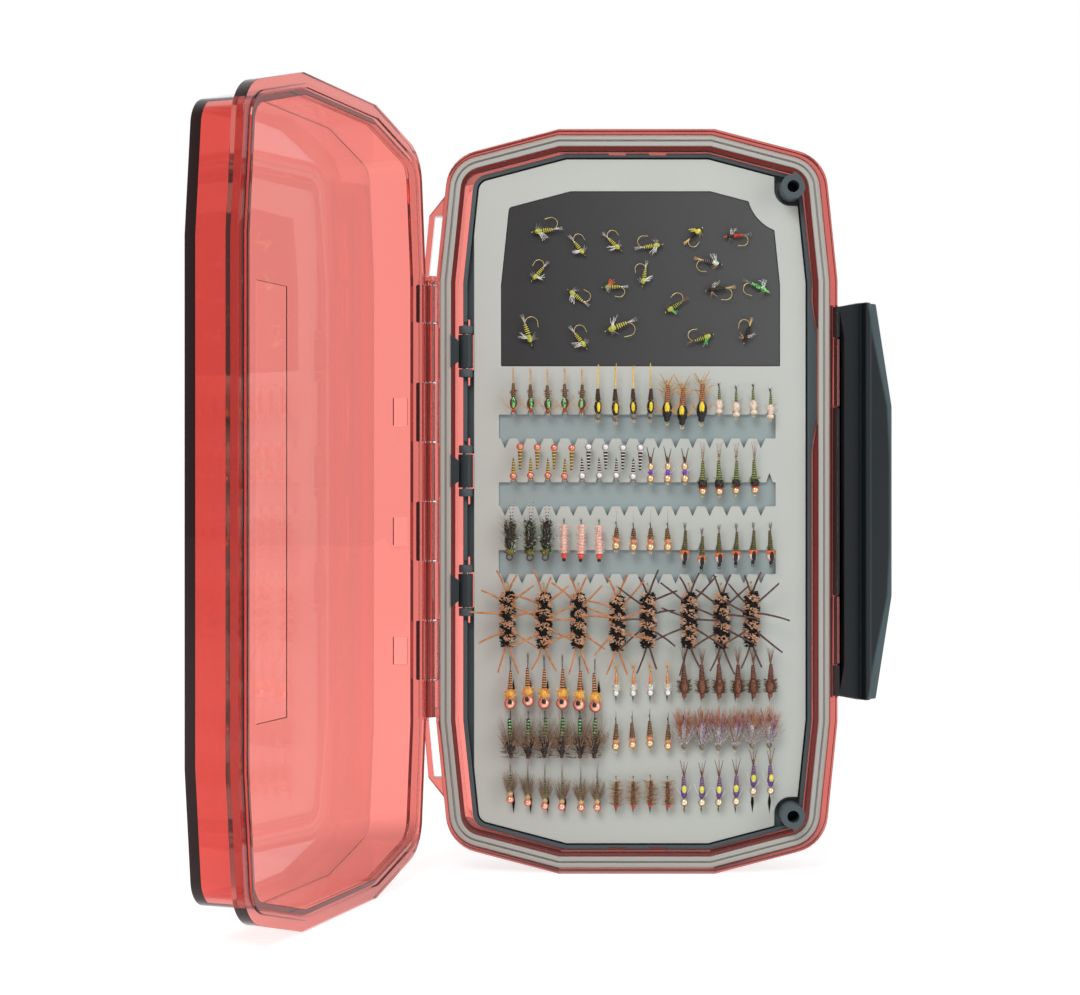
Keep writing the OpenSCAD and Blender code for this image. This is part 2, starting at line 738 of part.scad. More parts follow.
module leaf_back_mat() {
    back = leaf_d + leaf_t - mat_drop;
    color([0.74, 0.77, 0.74])
        difference() {
            plate(web_d + web_t, back) mat_outline();
            for (up = [-70:17.5:70])
                slit_row(up, slit_count, slit_pitch, back - slit_d, back + past);
        }
}

module leaf_magnet_sheet() {
    color([0.3, 0.3, 0.3]) plate(mat_d + sheet_drop, web_d) sheet_window(clear_in);
}

module leaf_pins() {
    half = clip_len / 2 + knuckle_gap + ear_len;
    color("silver")
        for (up = clips_up) rod(leaf_axis_x, leaf_axis_d, up - half, up + half, leaf_pin_r);
}

// A clip: a saddle over the inner wall, a leg down its face and a barrel for the pin
module leaf_clip(up) {
    saddle_x = -half_w + inner_in - seal_shift;
    leg_end = leaf_axis_d + clip_r;
    color([0.2, 0.24, 0.26])
        difference() {
            union() {
                plate(inner_drop - saddle_t, inner_drop)
                    polygon([[saddle_x, up - clip_len / 2], [cavity_left + leg_t, up - saddle_w / 2],
                             [cavity_left + leg_t, up + saddle_w / 2], [saddle_x, up + clip_len / 2]]);
                block(cavity_left, cavity_left + leg_t, inner_drop - saddle_t, leg_end,
                      up - saddle_w / 2, up + saddle_w / 2);
                rod(leaf_axis_x, leaf_axis_d, up - clip_len / 2, up + clip_len / 2, clip_r);
            }
            rod(leaf_axis_x, leaf_axis_d, up - clip_len, up + clip_len, leaf_pin_r + run_gap);
        }
}

module leaf_clip_top() leaf_clip(clips_up[2]);
module leaf_clip_middle() leaf_clip(clips_up[1]);
module leaf_clip_bottom() leaf_clip(clips_up[0]);

// One fly: a tapered body along the case, a bead at its head and a hook into the mat
module fly(x, up, length, body_r, tail_r, bead_r, head) {
    axis_d = mat_d - fly_h;
    translate([x, depth(axis_d), mid + up]) {
        translate([0, 0, -head * length / 2]) rotate([head > 0 ? 0 : 180, 0, 0])
            cylinder(h = length - bead_r, r1 = tail_r, r2 = body_r, $fn = 24);
        translate([0, 0, head * (length / 2 - bead_r)]) sphere(r = bead_r, $fn = 24);
        translate([0, 0, -head * length / 4]) rotate([-90, 0, 0])
            cylinder(h = fly_h - run_gap, r = hook_r, $fn = 16);
    }
}

// Flies of one kind, side by side over neighbouring slits of one row
module flies(tint, first, count, row, length, body_r, tail_r, bead_r, step = 1) {
    color(tint)
        for (i = [0:count - 1])
            fly(slit_x(first + i * step), rows_up[row] + fly_lifts[row], length,
                body_r, tail_r, bead_r, -1);
}

// Midges in two ranks, one with its beads down and one, between them, with its beads up
module midges(tint, first, count) {
    row = 5;
    between = 0.4;
    body_r = 0.6;
    tail_r = 0.3;
    color(tint)
        for (i = [0:count - 1]) {
            fly(slit_x(first + i), rows_up[row] + midge_lifts[0], midge_len, body_r, tail_r, 0.85, -1);
            fly(slit_x(first + i + between), rows_up[row] + midge_lifts[1], midge_len,
                body_r, tail_r, 0.8, 1);
        }
}

module flies_green_flash() flies([0.45, 0.33, 0.15], 0, 5, 6, nymph_len, 1.3, 0.4, 1.5);
module flies_dark_tan() flies([0.2, 0.18, 0.12], 5, 4, 6, nymph_len, 1.3, 0.4, 1.5);
module flies_rubber_leg() flies([0.25, 0.2, 0.15], 9, 3, 6, big_nymph_len, 1.5, 0.5, 1.7);
module flies_cream() flies([0.75, 0.7, 0.5], 12, 4, 6, nymph_len, 1.3, 0.4, 1.5);
module midges_copper() midges([0.6, 0.25, 0.12], 0, 4);
module midges_silver() midges([0.15, 0.15, 0.15], 4, 4);
module nymphs_purple() flies([0.35, 0.15, 0.4], 8, 3, 5, slim_nymph_len, 1.1, 0.4, 1.4);
module nymphs_black_olive() flies([0.35, 0.35, 0.15], 11, 4, 5, slim_nymph_len, 1.1, 0.4, 1.4);
module flies_shaggy_green() flies([0.1, 0.2, 0.1], 0, 3, 4, big_nymph_len, 1.6, 0.6, 1.5);
module shrimps_pink() flies([0.85, 0.5, 0.5], 3, 3, 4, nymph_len, 1.5, 0.8, 1.4);
module nymphs_brown_gold() flies([0.4, 0.25, 0.12], 6, 4, 4, nymph_len, 1.4, 0.5, 1.5);
module scuds_olive() flies([0.45, 0.45, 0.2], 10, 6, 4, nymph_len, 1.5, 0.7, 1.5);
module stoneflies_tan() flies([0.5, 0.35, 0.2], 0, 4, 3, stonefly_len, 1.9, 0.8, 1.8, 2);
module stoneflies_brown() flies([0.3, 0.2, 0.12], 8, 4, 3, stonefly_len, 1.9, 0.8, 1.8, 2);
module nymphs_copper_bead() flies([0.75, 0.45, 0.2], 0, 6, 2, mid_nymph_len, 1.3, 0.4, 1.6);
module nymphs_silver_bead() flies([0.6, 0.4, 0.3], 6, 4, 2, mid_nymph_len, 1.3, 0.4, 1.5);
module nymphs_pheasant_tail() flies([0.5, 0.35, 0.18], 10, 6, 2, mid_nymph_len, 1.4, 0.5, 1.6);
module flies_black_hackle() flies([0.12, 0.13, 0.12], 0, 6, 1, short_fly_len, 1.6, 0.7, 1.4);
module nymphs_gold_bead() flies([0.4, 0.28, 0.15], 6, 4, 1, short_fly_len, 1.3, 0.5, 1.5);
module flies_orange_tuft() flies([0.8, 0.45, 0.2], 10, 6, 1, short_fly_len, 1.4, 0.6, 1.4);
module flies_soft_hackle() flies([0.5, 0.4, 0.3], 0, 6, 0, nymph_len, 1.3, 0.5, 1.4);
module nymphs_fuzzy_brown() flies([0.35, 0.25, 0.15], 6, 4, 0, nymph_len, 1.5, 0.7, 1.5);
module nymphs_violet() flies([0.4, 0.2, 0.45], 10, 6, 0, nymph_len, 1.2, 0.4, 1.4);

// Small flies that lie on the magnetic sheet: place, height above the sheet's lower edge
// and heading of each. Those that a smaller sheet has no room for are left out.
sheet_fly_places = [
    [-23.8, 34.7, 200], [-14.7, 30.3, 30], [-5.7, 31.3, 340], [4, 30.8, 150],
    [-25.2, 23.7, 80], [-15.5, 18, 300], [-6.2, 20.3, 20], [2, 22.9, 120],
    [-27.8, 8.3, 60], [-14.4, 6.6, 10], [-4.9, 10.1, 170], [15.1, 33.9, 220],
    [25.2, 33.4, 330], [19.2, 26.7, 90], [20.7, 19.7, 260], [31.5, 20.2, 40],
    [9.7, 15.2, 140], [17.1, 7.2, 350], [28.4, 8.3, 200]
];

module sheet_flies() {
    body_r = 0.8;
    bead_r = 0.9;
    tail_r = 0.3;
    sheet_face = mat_d + sheet_drop;
    half = sheet_fly_len / 2;
    color([0.25, 0.3, 0.15])
        for (p = sheet_fly_places)
            if (abs(p[0] - sheet_shift) + half < sheet_half && sheet_low + p[1] + half < sheet_top)
                translate([p[0], depth(sheet_face - bead_r - run_gap), mid + sheet_low + p[1]])
                    rotate([0, p[2], 0]) {
                        translate([0, 0, -half])
                            cylinder(h = sheet_fly_len, r1 = tail_r, r2 = body_r, $fn = 24);
                        translate([0, 0, half]) sphere(r = bead_r, $fn = 24);
                    }
}

base_shell();
base_gasket();
base_mat();
lid_shell();
lid_hinge_pin();
latch();
latch_pin();
leaf_frame();
leaf_front_mat();
leaf_back_mat();
leaf_magnet_sheet();
leaf_pins();
leaf_clip_top();
leaf_clip_middle();
leaf_clip_bottom();
flies_green_flash();
flies_dark_tan();
flies_rubber_leg();
flies_cream();
midges_copper();
midges_silver();
nymphs_purple();
nymphs_black_olive();
flies_shaggy_green();
shrimps_pink();
nymphs_brown_gold();
scuds_olive();
stoneflies_tan();
stoneflies_brown();
nymphs_copper_bead();
nymphs_silver_bead();
nymphs_pheasant_tail();
flies_black_hackle();
nymphs_gold_bead();
flies_orange_tuft();
flies_soft_hackle();
nymphs_fuzzy_brown();
nymphs_violet();
sheet_flies();
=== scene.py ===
"""Looks of an open fly box on its short end: clear red shells, silicone mats and tied flies.

Lengths are in millimetres times MM, and in metres for the camera, floor and lamps. Heights of
flies count from MIDDLE."""

import json
import math
import random

import bpy
from mathutils import Matrix, Vector

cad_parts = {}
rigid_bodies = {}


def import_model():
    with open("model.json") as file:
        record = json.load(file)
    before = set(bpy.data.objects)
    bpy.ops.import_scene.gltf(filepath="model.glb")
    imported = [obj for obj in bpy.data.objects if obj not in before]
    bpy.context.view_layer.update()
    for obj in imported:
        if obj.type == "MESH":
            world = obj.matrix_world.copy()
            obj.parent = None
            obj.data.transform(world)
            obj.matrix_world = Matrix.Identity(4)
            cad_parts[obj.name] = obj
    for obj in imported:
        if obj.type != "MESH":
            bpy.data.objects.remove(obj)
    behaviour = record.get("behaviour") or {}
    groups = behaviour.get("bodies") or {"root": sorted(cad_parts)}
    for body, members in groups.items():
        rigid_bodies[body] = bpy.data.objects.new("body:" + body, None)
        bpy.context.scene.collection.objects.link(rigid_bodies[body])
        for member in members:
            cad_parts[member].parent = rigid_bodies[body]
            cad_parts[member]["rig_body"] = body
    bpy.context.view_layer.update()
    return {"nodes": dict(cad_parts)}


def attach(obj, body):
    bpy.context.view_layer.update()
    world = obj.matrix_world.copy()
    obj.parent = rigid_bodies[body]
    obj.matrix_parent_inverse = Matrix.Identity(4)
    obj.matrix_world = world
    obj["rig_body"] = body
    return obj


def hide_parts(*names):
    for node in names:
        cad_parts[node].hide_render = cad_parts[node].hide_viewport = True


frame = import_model()
MM = 0.001
MIDDLE = 95.0         # height of the case's middle
TRAY_UP, TRAY_PITCH = -15.6, 17.4       # the lowest tray above the middle, and their distance
LATCH_EDGE, LATCH_RIDGE = 68.3, 61.9    # x of the latch's outer edge at mid height and its ridge
WELD_GAP = 2e-6       # metres within which a CAD solid's corners are one
FLAT_ANGLE = 0.8      # degrees between faces that count as one flat face


# ---------------------------------------------------------------- shader arithmetic

class Amount:
    """A shader socket that takes part in plain arithmetic."""

    def __init__(self, paint, socket):
        self.paint, self.socket = paint, socket

    def combine(self, operation, first, second):
        return self.paint.node("ShaderNodeMath", {"operation": operation}, {0: first, 1: second})

    def __add__(self, other):
        return self.combine("ADD", self, other)

    def __radd__(self, other):
        return self.combine("ADD", other, self)

    def __sub__(self, other):
        return self.combine("SUBTRACT", self, other)

    def __rsub__(self, other):
        return self.combine("SUBTRACT", other, self)

    def __mul__(self, other):
        return self.combine("MULTIPLY", self, other)

    def __rmul__(self, other):
        return self.combine("MULTIPLY", other, self)


class Nodes:
    """A node tree that grows by plain calls."""

    def __init__(self, tree):
        self.tree = tree

    def node(self, kind, settings=None, inputs=None, out=0):
        new = self.tree.nodes.new(kind)
        for setting, value in (settings or {}).items():
            if setting == "stops":
                ramp = new.color_ramp
                while len(ramp.elements) < len(value):
                    ramp.elements.new(0.5)
                for element, (place, colour) in zip(ramp.elements, value):
                    element.position, element.color = place, colour
            else:
                setattr(new, setting, value)
        for socket, value in (inputs or {}).items():
            self.feed(new.inputs[socket], value)
        return Amount(self, new.outputs[out])

    def feed(self, socket, value):
        if isinstance(value, Amount):
            self.tree.links.new(value.socket, socket)
        else:
            socket.default_value = value

    def part(self, vector, index):
        """One of a vector's three numbers."""
        return self.node("ShaderNodeSeparateXYZ", None, {0: vector}, out=index)

    def stretch(self, amount, low, high, start=0.0, end=1.0):
        """An amount that goes from start to end as another goes from low to high."""
        return self.node("ShaderNodeMapRange", {"clamp": True},
                         {0: amount, 1: low, 2: high, 3: start, 4: end})

    def by_ray(self, plain, mirrored, through, seen):
        """A brightness that depends on how it is looked at: by a surface that it lights, in a
        mirror, through clear plastic or by the camera."""
        level = plain
        for kind, other in (("Is Glossy Ray", mirrored), ("Is Transmission Ray", through),
                            ("Is Camera Ray", seen)):
            level = self.node("ShaderNodeMix", {"data_type": "FLOAT"},
                              {0: self.node("ShaderNodeLightPath", out=kind), 2: level, 3: other})
        return level


class Paint(Nodes):
    """A material and its nodes."""

    def __init__(self, name):
        self.material = bpy.data.materials.new(name)
        self.material.use_nodes = True
        super().__init__(self.material.node_tree)
        self.shader = self.tree.nodes["Principled BSDF"]
        self.output = self.tree.nodes["Material Output"]

    def set(self, **values):
        for name, value in values.items():
            self.feed(self.shader.inputs[name.replace("_", " ")], value)

    def place(self):
        return self.node("ShaderNodeTexCoord", out="Object")

    def axis(self, index):
        return self.part(self.place(), index)

    def maths(self, operation, first, second=None):
        inputs = {0: first} if second is None else {0: first, 1: second}
        return self.node("ShaderNodeMath", {"operation": operation}, inputs)

    def noise(self, scale, detail=3.0, roughness=0.5, stretch=(1, 1, 1)):
        spot = self.node("ShaderNodeMapping", None, {"Vector": self.place(), "Scale": stretch})
        return self.node("ShaderNodeTexNoise", None,
                         {"Vector": spot, "Scale": scale, "Detail": detail, "Roughness": roughness})

    def mix(self, factor, first, second):
        return self.node("ShaderNodeMix", {"data_type": "RGBA"},
                         {0: factor, 6: first, 7: second}, out=2)

    def bump(self, height, depth, strength):
        return self.node("ShaderNodeBump", None,
                         {"Height": height, "Distance": depth, "Strength": strength})


def srgb(red, green, blue):
    """A colour as seen, from 0 to 255, as the linear colour that the shader takes."""
    def linear(part):
        part /= 255
        return part / 12.92 if part <= 0.04045 else ((part + 0.055) / 1.055) ** 2.4
    return (linear(red), linear(green), linear(blue), 1.0)


def shade(colour, factor):
    return tuple(min(1.0, part * factor) for part in colour[:3]) + (1.0,)


# ---------------------------------------------------------------- finishes

def clear_red_plastic():
    paint = Paint("clear_red_plastic")
    haze = paint.noise(900, 2)
    flow = paint.noise(35, 3, stretch=(1, 1, 0.35))
    # The faint emission is painted light: a glow that stands in for light scattered inside the
    # plastic
    paint.set(Base_Color=paint.mix(flow, (0.97, 0.315, 0.278, 1), (0.97, 0.285, 0.25, 1)),
              Roughness=0.015 + 0.03 * haze, Transmission_Weight=1.0, IOR=1.44,
              Emission_Color=(0.011, 0.009, 0.009, 1), Emission_Strength=1.0,
              Normal=paint.bump(flow, 0.06 * MM, 0.6))
    light_path = paint.node("ShaderNodeLightPath", out="Is Shadow Ray")
    through = paint.node("ShaderNodeBsdfTransparent", None, {0: (0.88, 0.68, 0.65, 1)})
    paint.feed(paint.output.inputs["Surface"], paint.node(
        "ShaderNodeMixShader", None,
        {0: light_path, 1: Amount(paint, paint.shader.outputs[0]), 2: through}))
    paint.feed(paint.output.inputs["Volume"], paint.node(
        "ShaderNodeVolumeAbsorption", None, {"Color": (0.37, 0.03, 0.0, 1), "Density": 158.0}))
    return paint.material


def moulded_plastic(name, colour, roughness=0.42, gloss=0.5):
    paint = Paint(name)
    grain = paint.noise(4200, 2)
    cloud = paint.noise(60, 4)
    scuff = paint.stretch(paint.noise(700, 4, 0.7, (1, 1, 0.12)), 0.62, 0.75)
    clouded = paint.mix(cloud, shade(colour, 0.86), shade(colour, 1.14))
    paint.set(Base_Color=paint.mix(scuff * 0.35, clouded, shade(colour, 1.9)),
              Roughness=roughness + 0.12 * cloud + 0.1 * scuff, IOR=1.5, Specular_IOR_Level=gloss,
              Normal=paint.bump(grain, 0.03 * MM, 0.5))
    return paint.material


def latch_plastic():
    """Dark slate plastic, with a painted highlight along the latch's bowed edge and its ridge, and
    painted shade that darkens it from the ridge inwards.
    """
    paint = Paint("latch_plastic")
    grain = paint.noise(4200, 2)
    cloud = paint.noise(60, 4)

    def over(amount, start):
        return paint.maths("MAXIMUM", amount - start * MM, 0.0)

    across = paint.axis(0)
    up = paint.maths("ABSOLUTE", paint.axis(2) - MIDDLE * MM)
    # The edge slants in past 25 mm from the middle, and the painted highlight along it bows a
    # little from 12 mm on
    to_edge = LATCH_EDGE * MM - 0.177 * over(up, 25) - across
    rim_highlight = paint.stretch(to_edge - 0.055 * over(up, 12), 0.4 * MM, 1.2 * MM, 1, 0)
    off_ridge = paint.maths("ABSOLUTE", across - LATCH_RIDGE * MM)
    ridge_highlight = paint.stretch(off_ridge, 0.1 * MM, 0.45 * MM, 0.45, 0)
    # Painted shade, darker from the ridge inwards, then painted highlights on the ridge and rim
    colour = paint.mix(paint.stretch(across, 53 * MM, 61 * MM), srgb(11, 15, 18), srgb(19, 28, 32))
    colour = paint.mix(ridge_highlight, colour, srgb(66, 78, 82))
    colour = paint.mix(rim_highlight, colour, paint.mix(cloud, srgb(64, 80, 84), srgb(78, 94, 98)))
    paint.set(Base_Color=colour, Roughness=0.36 + 0.12 * cloud, IOR=1.5, Specular_IOR_Level=0.3,
              Normal=paint.bump(grain, 0.03 * MM, 0.5))
    return paint.material


def silicone(name, colour, dust=1.06, sink=None):
    """Soft matt rubber; sink(paint, cloud, ground) gives its colour where it has trays, with any
    painted shade there.
    """
    paint = Paint(name)
    grain = paint.noise(2600, 3)
    cloud = paint.noise(45, 3)
    ground = paint.mix(cloud, shade(colour, 0.95), shade(colour, dust))
    paint.set(Base_Color=sink(paint, cloud, ground) if sink else ground,
              Roughness=0.5 + 0.12 * cloud, IOR=1.42,
              Normal=paint.bump(grain, 0.02 * MM, 0.5))
    return paint.material


def greyer_trays_and_painted_shade(paint, cloud, ground):
    """The front mat's colour: its face, its trays, and painted shade in the notches and slits."""
    sunk = paint.mix(cloud, srgb(144, 159, 160), srgb(154, 168, 168))
    # The notches beside the trays and the deeper slits get painted shade
    painted_recess_shade = srgb(52, 58, 58)
    into = paint.axis(1)
    # Heights are wrapped round the lowest tray, so that one test finds the notches of all
    wrapped = paint.node("ShaderNodeMath", {"operation": "WRAP"},
                         {0: paint.axis(2), 1: (MIDDLE + TRAY_UP + TRAY_PITCH / 2) * MM,
                          2: (MIDDLE + TRAY_UP - TRAY_PITCH / 2) * MM})
    beside_tray = paint.maths("ABSOLUTE", wrapped - (MIDDLE + TRAY_UP) * MM)
    notched = paint.stretch(beside_tray, 3.4 * MM, 5.5 * MM)
    colour = paint.mix(paint.stretch(into, 0.7 * MM, 1.2 * MM), ground,
                       paint.mix(notched * 0.75, sunk, painted_recess_shade))
    return paint.mix(paint.stretch(into, 1.55 * MM, 1.8 * MM), colour, painted_recess_shade)


def magnet_rubber():
    paint = Paint("magnet_rubber")
    grain = paint.noise(1900, 4, 0.7)
    cloud = paint.noise(70, 4)
    # Painted shade: the sheet darkens towards its left
    across = paint.stretch(paint.axis(0), -30 * MM, 34 * MM)
    colour = paint.mix(across, srgb(46, 46, 47), srgb(80, 82, 82))
    paint.set(Base_Color=paint.mix(grain * 0.3 + cloud * 0.2, colour, srgb(58, 58, 59)),
              Roughness=0.6 + 0.15 * grain, IOR=1.45,
              Normal=paint.bump(grain, 0.05 * MM, 0.6))
    return paint.material


def drawn_steel():
    paint = Paint("drawn_steel")
    streak = paint.noise(1500, 3, 0.6, (1, 1, 0.04))
    paint.set(Base_Color=paint.mix(streak, (0.5, 0.5, 0.5, 1), (0.68, 0.67, 0.65, 1)), Metallic=1.0,
              Roughness=0.18 + 0.2 * streak)
    return paint.material


CLEAR_RED = clear_red_plastic()
GASKET = silicone("gasket_silicone", srgb(174, 174, 168))
SILICONE = silicone("mat_silicone", srgb(186, 190, 184))
TRAYED_SILICONE = silicone("trayed_silicone", srgb(188, 193, 187), 1.05, greyer_trays_and_painted_shade)
DARK_PLASTIC = latch_plastic()
SLATE_PLASTIC = moulded_plastic("slate_plastic", srgb(72, 84, 88), 0.4)
CLIP_PLASTIC = moulded_plastic("clip_plastic", srgb(38, 50, 54), 0.38)
MAGNET = magnet_rubber()
STEEL = drawn_steel()


# ---------------------------------------------------------------- modelling helpers

def pick(*objects):
    bpy.ops.object.select_all(action="DESELECT")
    for each in objects:
        each.select_set(True)
    bpy.context.view_layer.objects.active = objects[0]


def link(name, data):
    new = bpy.data.objects.new(name, data)
    bpy.context.scene.collection.objects.link(new)
    return new


def moulding(node, name, finish, edge, segments=2, smooth=32, merge=True):
    """A copy of a CAD solid, cleaned, with its sharp edges rounded, that stands for it.

    edge is the width of the rounding, smooth the angle in degrees from which an edge is sharp,
    and merge says whether its flat faces are merged first."""
    piece = link(name, frame["nodes"][node].data.copy())
    piece.data.materials.clear()
    piece.data.materials.append(finish)
    pick(piece)
    if piece.data.has_custom_normals:
        bpy.ops.mesh.customdata_custom_splitnormals_clear()
    bpy.ops.object.mode_set(mode="EDIT")
    bpy.ops.mesh.select_all(action="SELECT")
    bpy.ops.mesh.remove_doubles(threshold=WELD_GAP)
    if merge:
        bpy.ops.mesh.dissolve_limited(angle_limit=math.radians(FLAT_ANGLE))
    bpy.ops.object.mode_set(mode="OBJECT")
    rounding = piece.modifiers.new("rounding", "BEVEL")
    rounding.width, rounding.segments = edge, segments
    rounding.limit_method, rounding.angle_limit = "ANGLE", math.radians(smooth)
    rounding.use_clamp_overlap = False
    bpy.ops.object.modifier_apply(modifier=rounding.name)
    bpy.ops.object.shade_smooth_by_angle(angle=math.radians(smooth))
    flats = piece.modifiers.new("flats", "WEIGHTED_NORMAL")
    flats.mode, flats.weight, flats.keep_sharp = "FACE_AREA", 100, True
    bpy.ops.object.modifier_apply(modifier=flats.name)
    body = frame["nodes"][node]["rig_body"]
    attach(piece, body)
    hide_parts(node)
    return piece


# ---------------------------------------------------------------- the box

# The base's flat faces stay apart, because merged ones fill the upper lanyard loop's slot
moulding("base_shell", "base_moulding", CLEAR_RED, 0.2 * MM, merge=False)
moulding("lid_shell", "lid_moulding", CLEAR_RED, 0.2 * MM)
moulding("base_gasket", "rim_gasket", GASKET, 0.25 * MM, 3)
moulding("leaf_frame", "leaf_moulding", SLATE_PLASTIC, 0.18 * MM)
moulding("leaf_front_mat", "front_mat", TRAYED_SILICONE, 0.2 * MM)
moulding("leaf_magnet_sheet", "magnet_sheet", MAGNET, 0.15 * MM)
moulding("latch", "latch_moulding", DARK_PLASTIC, 0.4 * MM, 3)
for place in ("top", "middle", "bottom"):
    moulding("leaf_clip_" + place, "clip_" + place, CLIP_PLASTIC, 0.15 * MM)
for node, finish in (("base_mat", SILICONE), ("leaf_back_mat", SILICONE), ("lid_hinge_pin", STEEL),
                     ("latch_pin", STEEL), ("leaf_pins", STEEL)):
    frame["nodes"][node].data.materials.clear()
    frame["nodes"][node].data.materials.append(finish)


# ---------------------------------------------------------------- what flies are tied from

def tying(name, first, second, scale=2200, roughness=0.5, shine=0.0, stretch=(1, 1, 1), depth=0.03):
    """Thread, fur, hair or rubber: two shades in fine flecks."""
    paint = Paint(name)
    fleck = paint.noise(scale, 3, 0.6, stretch)
    mixed = paint.mix(paint.stretch(fleck, 0.35, 0.65), srgb(*first), srgb(*second))
    paint.set(Base_Color=mixed, Roughness=roughness + 0.2 * fleck, Metallic=shine,
              Normal=paint.bump(fleck, depth * MM, 0.6))
    return paint.material


def bead_finish(name, face, edge, roughness=0.14, metal=0.5):
    """Plated metal with a painted reflection: its pale face colour, where it faces the view,
    deepens to its edge colour.
    """
    paint = Paint(name)
    wear = paint.noise(1400, 4, 0.6)
    # Painted reflection: the face colour fades to the edge colour as the surface turns away
    painted_reflection_fade = paint.node("ShaderNodeLayerWeight", None, {0: 0.35}, out=1)
    colour = paint.mix(paint.stretch(painted_reflection_fade, 0.05, 0.55), srgb(*face), srgb(*edge))
    paint.set(Base_Color=paint.mix(paint.stretch(wear, 0.3, 0.7) * 0.25, colour, srgb(*edge)),
              Metallic=metal, Roughness=roughness + 0.14 * wear)
    return paint.material


def banded(name, first, second, band):
    """Rubber in two colours by turns, along its length."""
    paint = Paint(name)
    wave = paint.maths("SINE", paint.axis(2) * (math.pi / (band * MM)))
    fleck = paint.noise(1500, 3)
    paint.set(Base_Color=paint.mix(paint.stretch(wave, -0.15, 0.15), srgb(*first), srgb(*second)),
              Roughness=0.4 + 0.2 * fleck)
    return paint.material


def flash(name, *colours):
    """Tinsel that shows several colours side by side."""
    paint = Paint(name)
    glint = paint.noise(1900, 2, 0.5)
    stops = [(0.3 + 0.4 * i / (len(colours) - 1), srgb(*colour))
             for i, colour in enumerate(colours)]
    paint.set(Base_Color=paint.node("ShaderNodeValToRGB", {"stops": stops}, {0: glint}),
              Metallic=0.35, Roughness=0.18 + 0.2 * glint)
    return paint.material


MOSS = tying("moss_fur", (84, 80, 30), (138, 130, 54))
SHRIMP_SKIN = tying("shrimp_skin", (238, 186, 170), (250, 226, 214), 1600, 0.4)
BRONZE = tying("bronze_thread", (118, 70, 52), (152, 98, 74))
SEDGE = tying("sedge_thread", (76, 72, 38), (120, 112, 62))
ORE = tying("ore_thread", (126, 104, 58), (176, 150, 92))
RUST = tying("rust_thread", (112, 54, 36), (158, 84, 58))
COPPER_WIRE = tying("copper_wire", (206, 122, 78), (244, 182, 136), 3000, 0.3, 0.3)
BROWN = tying("brown_thread", (70, 42, 34), (112, 72, 54))
BLACK = tying("black_thread", (20, 18, 18), (46, 41, 40), 2400, 0.4)
OLIVE = tying("olive_thread", (122, 138, 74), (172, 184, 120))
DARK_OLIVE = tying("dark_olive_thread", (44, 46, 26), (82, 82, 48))
WHITE = tying("white_thread", (216, 214, 208), (240, 238, 232))
CREAM = tying("cream_fur", (222, 196, 176), (244, 226, 208), 1500, 0.7)
YELLOW = tying("yellow_varnish", (226, 200, 26), (248, 226, 60), 1500, 0.25)
LEMON = tying("lemon_fur", (214, 206, 60), (240, 232, 116), 1500, 0.5)
LIME = tying("lime_floss", (150, 160, 44), (206, 210, 92), 2200, 0.4)
AMBER = tying("amber_fur", (240, 160, 40), (252, 216, 104), 1300, 0.55)
SCARLET = tying("scarlet_thread", (226, 64, 42), (246, 100, 68), 1500, 0.4)
ORANGE = tying("orange_thread", (222, 92, 34), (246, 132, 58), 1800, 0.35)
RED = tying("red_thread", (176, 44, 34), (222, 76, 58), 1800, 0.4)
PURPLE = tying("purple_thread", (84, 48, 150), (128, 84, 196), 1800, 0.35)
PLUM = tying("plum_thread", (70, 44, 110), (118, 84, 160), 1800, 0.35)
PINK = tying("pink_fur", (226, 152, 140), (246, 208, 196), 1300, 0.7)
PALE_PINK = tying("pale_pink_hair", (234, 204, 196), (250, 236, 230), 1500, 0.6)
TAN = tying("tan_hair", (190, 148, 98), (224, 186, 132), 1500, 0.6)
GOLD_HAIR = tying("gold_hair", (220, 178, 88), (242, 210, 128), 1500, 0.6)
GREY_HAIR = tying("grey_hair", (92, 86, 80), (148, 140, 130), 1500, 0.6)
HAZE_HAIR = tying("haze_hair", (122, 98, 76), (172, 148, 122), 1500, 0.6)
SILVER_HAIR = tying("silver_hair", (120, 110, 104), (232, 224, 216), 2600, 0.5)
BROWN_HAIR = tying("brown_hair", (92, 60, 44), (148, 106, 80), 1500, 0.6)
MOTTLED_HAIR = tying("mottled_hair", (84, 62, 46), (196, 164, 134), 2400, 0.6)
GINGER_HAIR = tying("ginger_hair", (154, 92, 62), (206, 146, 110), 900, 0.6)
ORANGE_RUBBER = tying("orange_rubber", (176, 108, 58), (212, 148, 96), 700, 0.45)
AMBER_RUBBER = tying("amber_rubber", (196, 138, 66), (224, 168, 96), 700, 0.45)
BROWN_RUBBER = tying("brown_rubber", (72, 44, 42), (108, 74, 70), 700, 0.45)
STRIPED_RUBBER = banded("striped_rubber", (30, 26, 24), (222, 214, 208), 0.42)
CHENILLE_BLACK = tying("black_chenille", (14, 12, 12), (40, 34, 32), 1600, 0.75)
CHENILLE_TAN = tying("tan_chenille", (196, 150, 116), (240, 204, 172), 1600, 0.75)
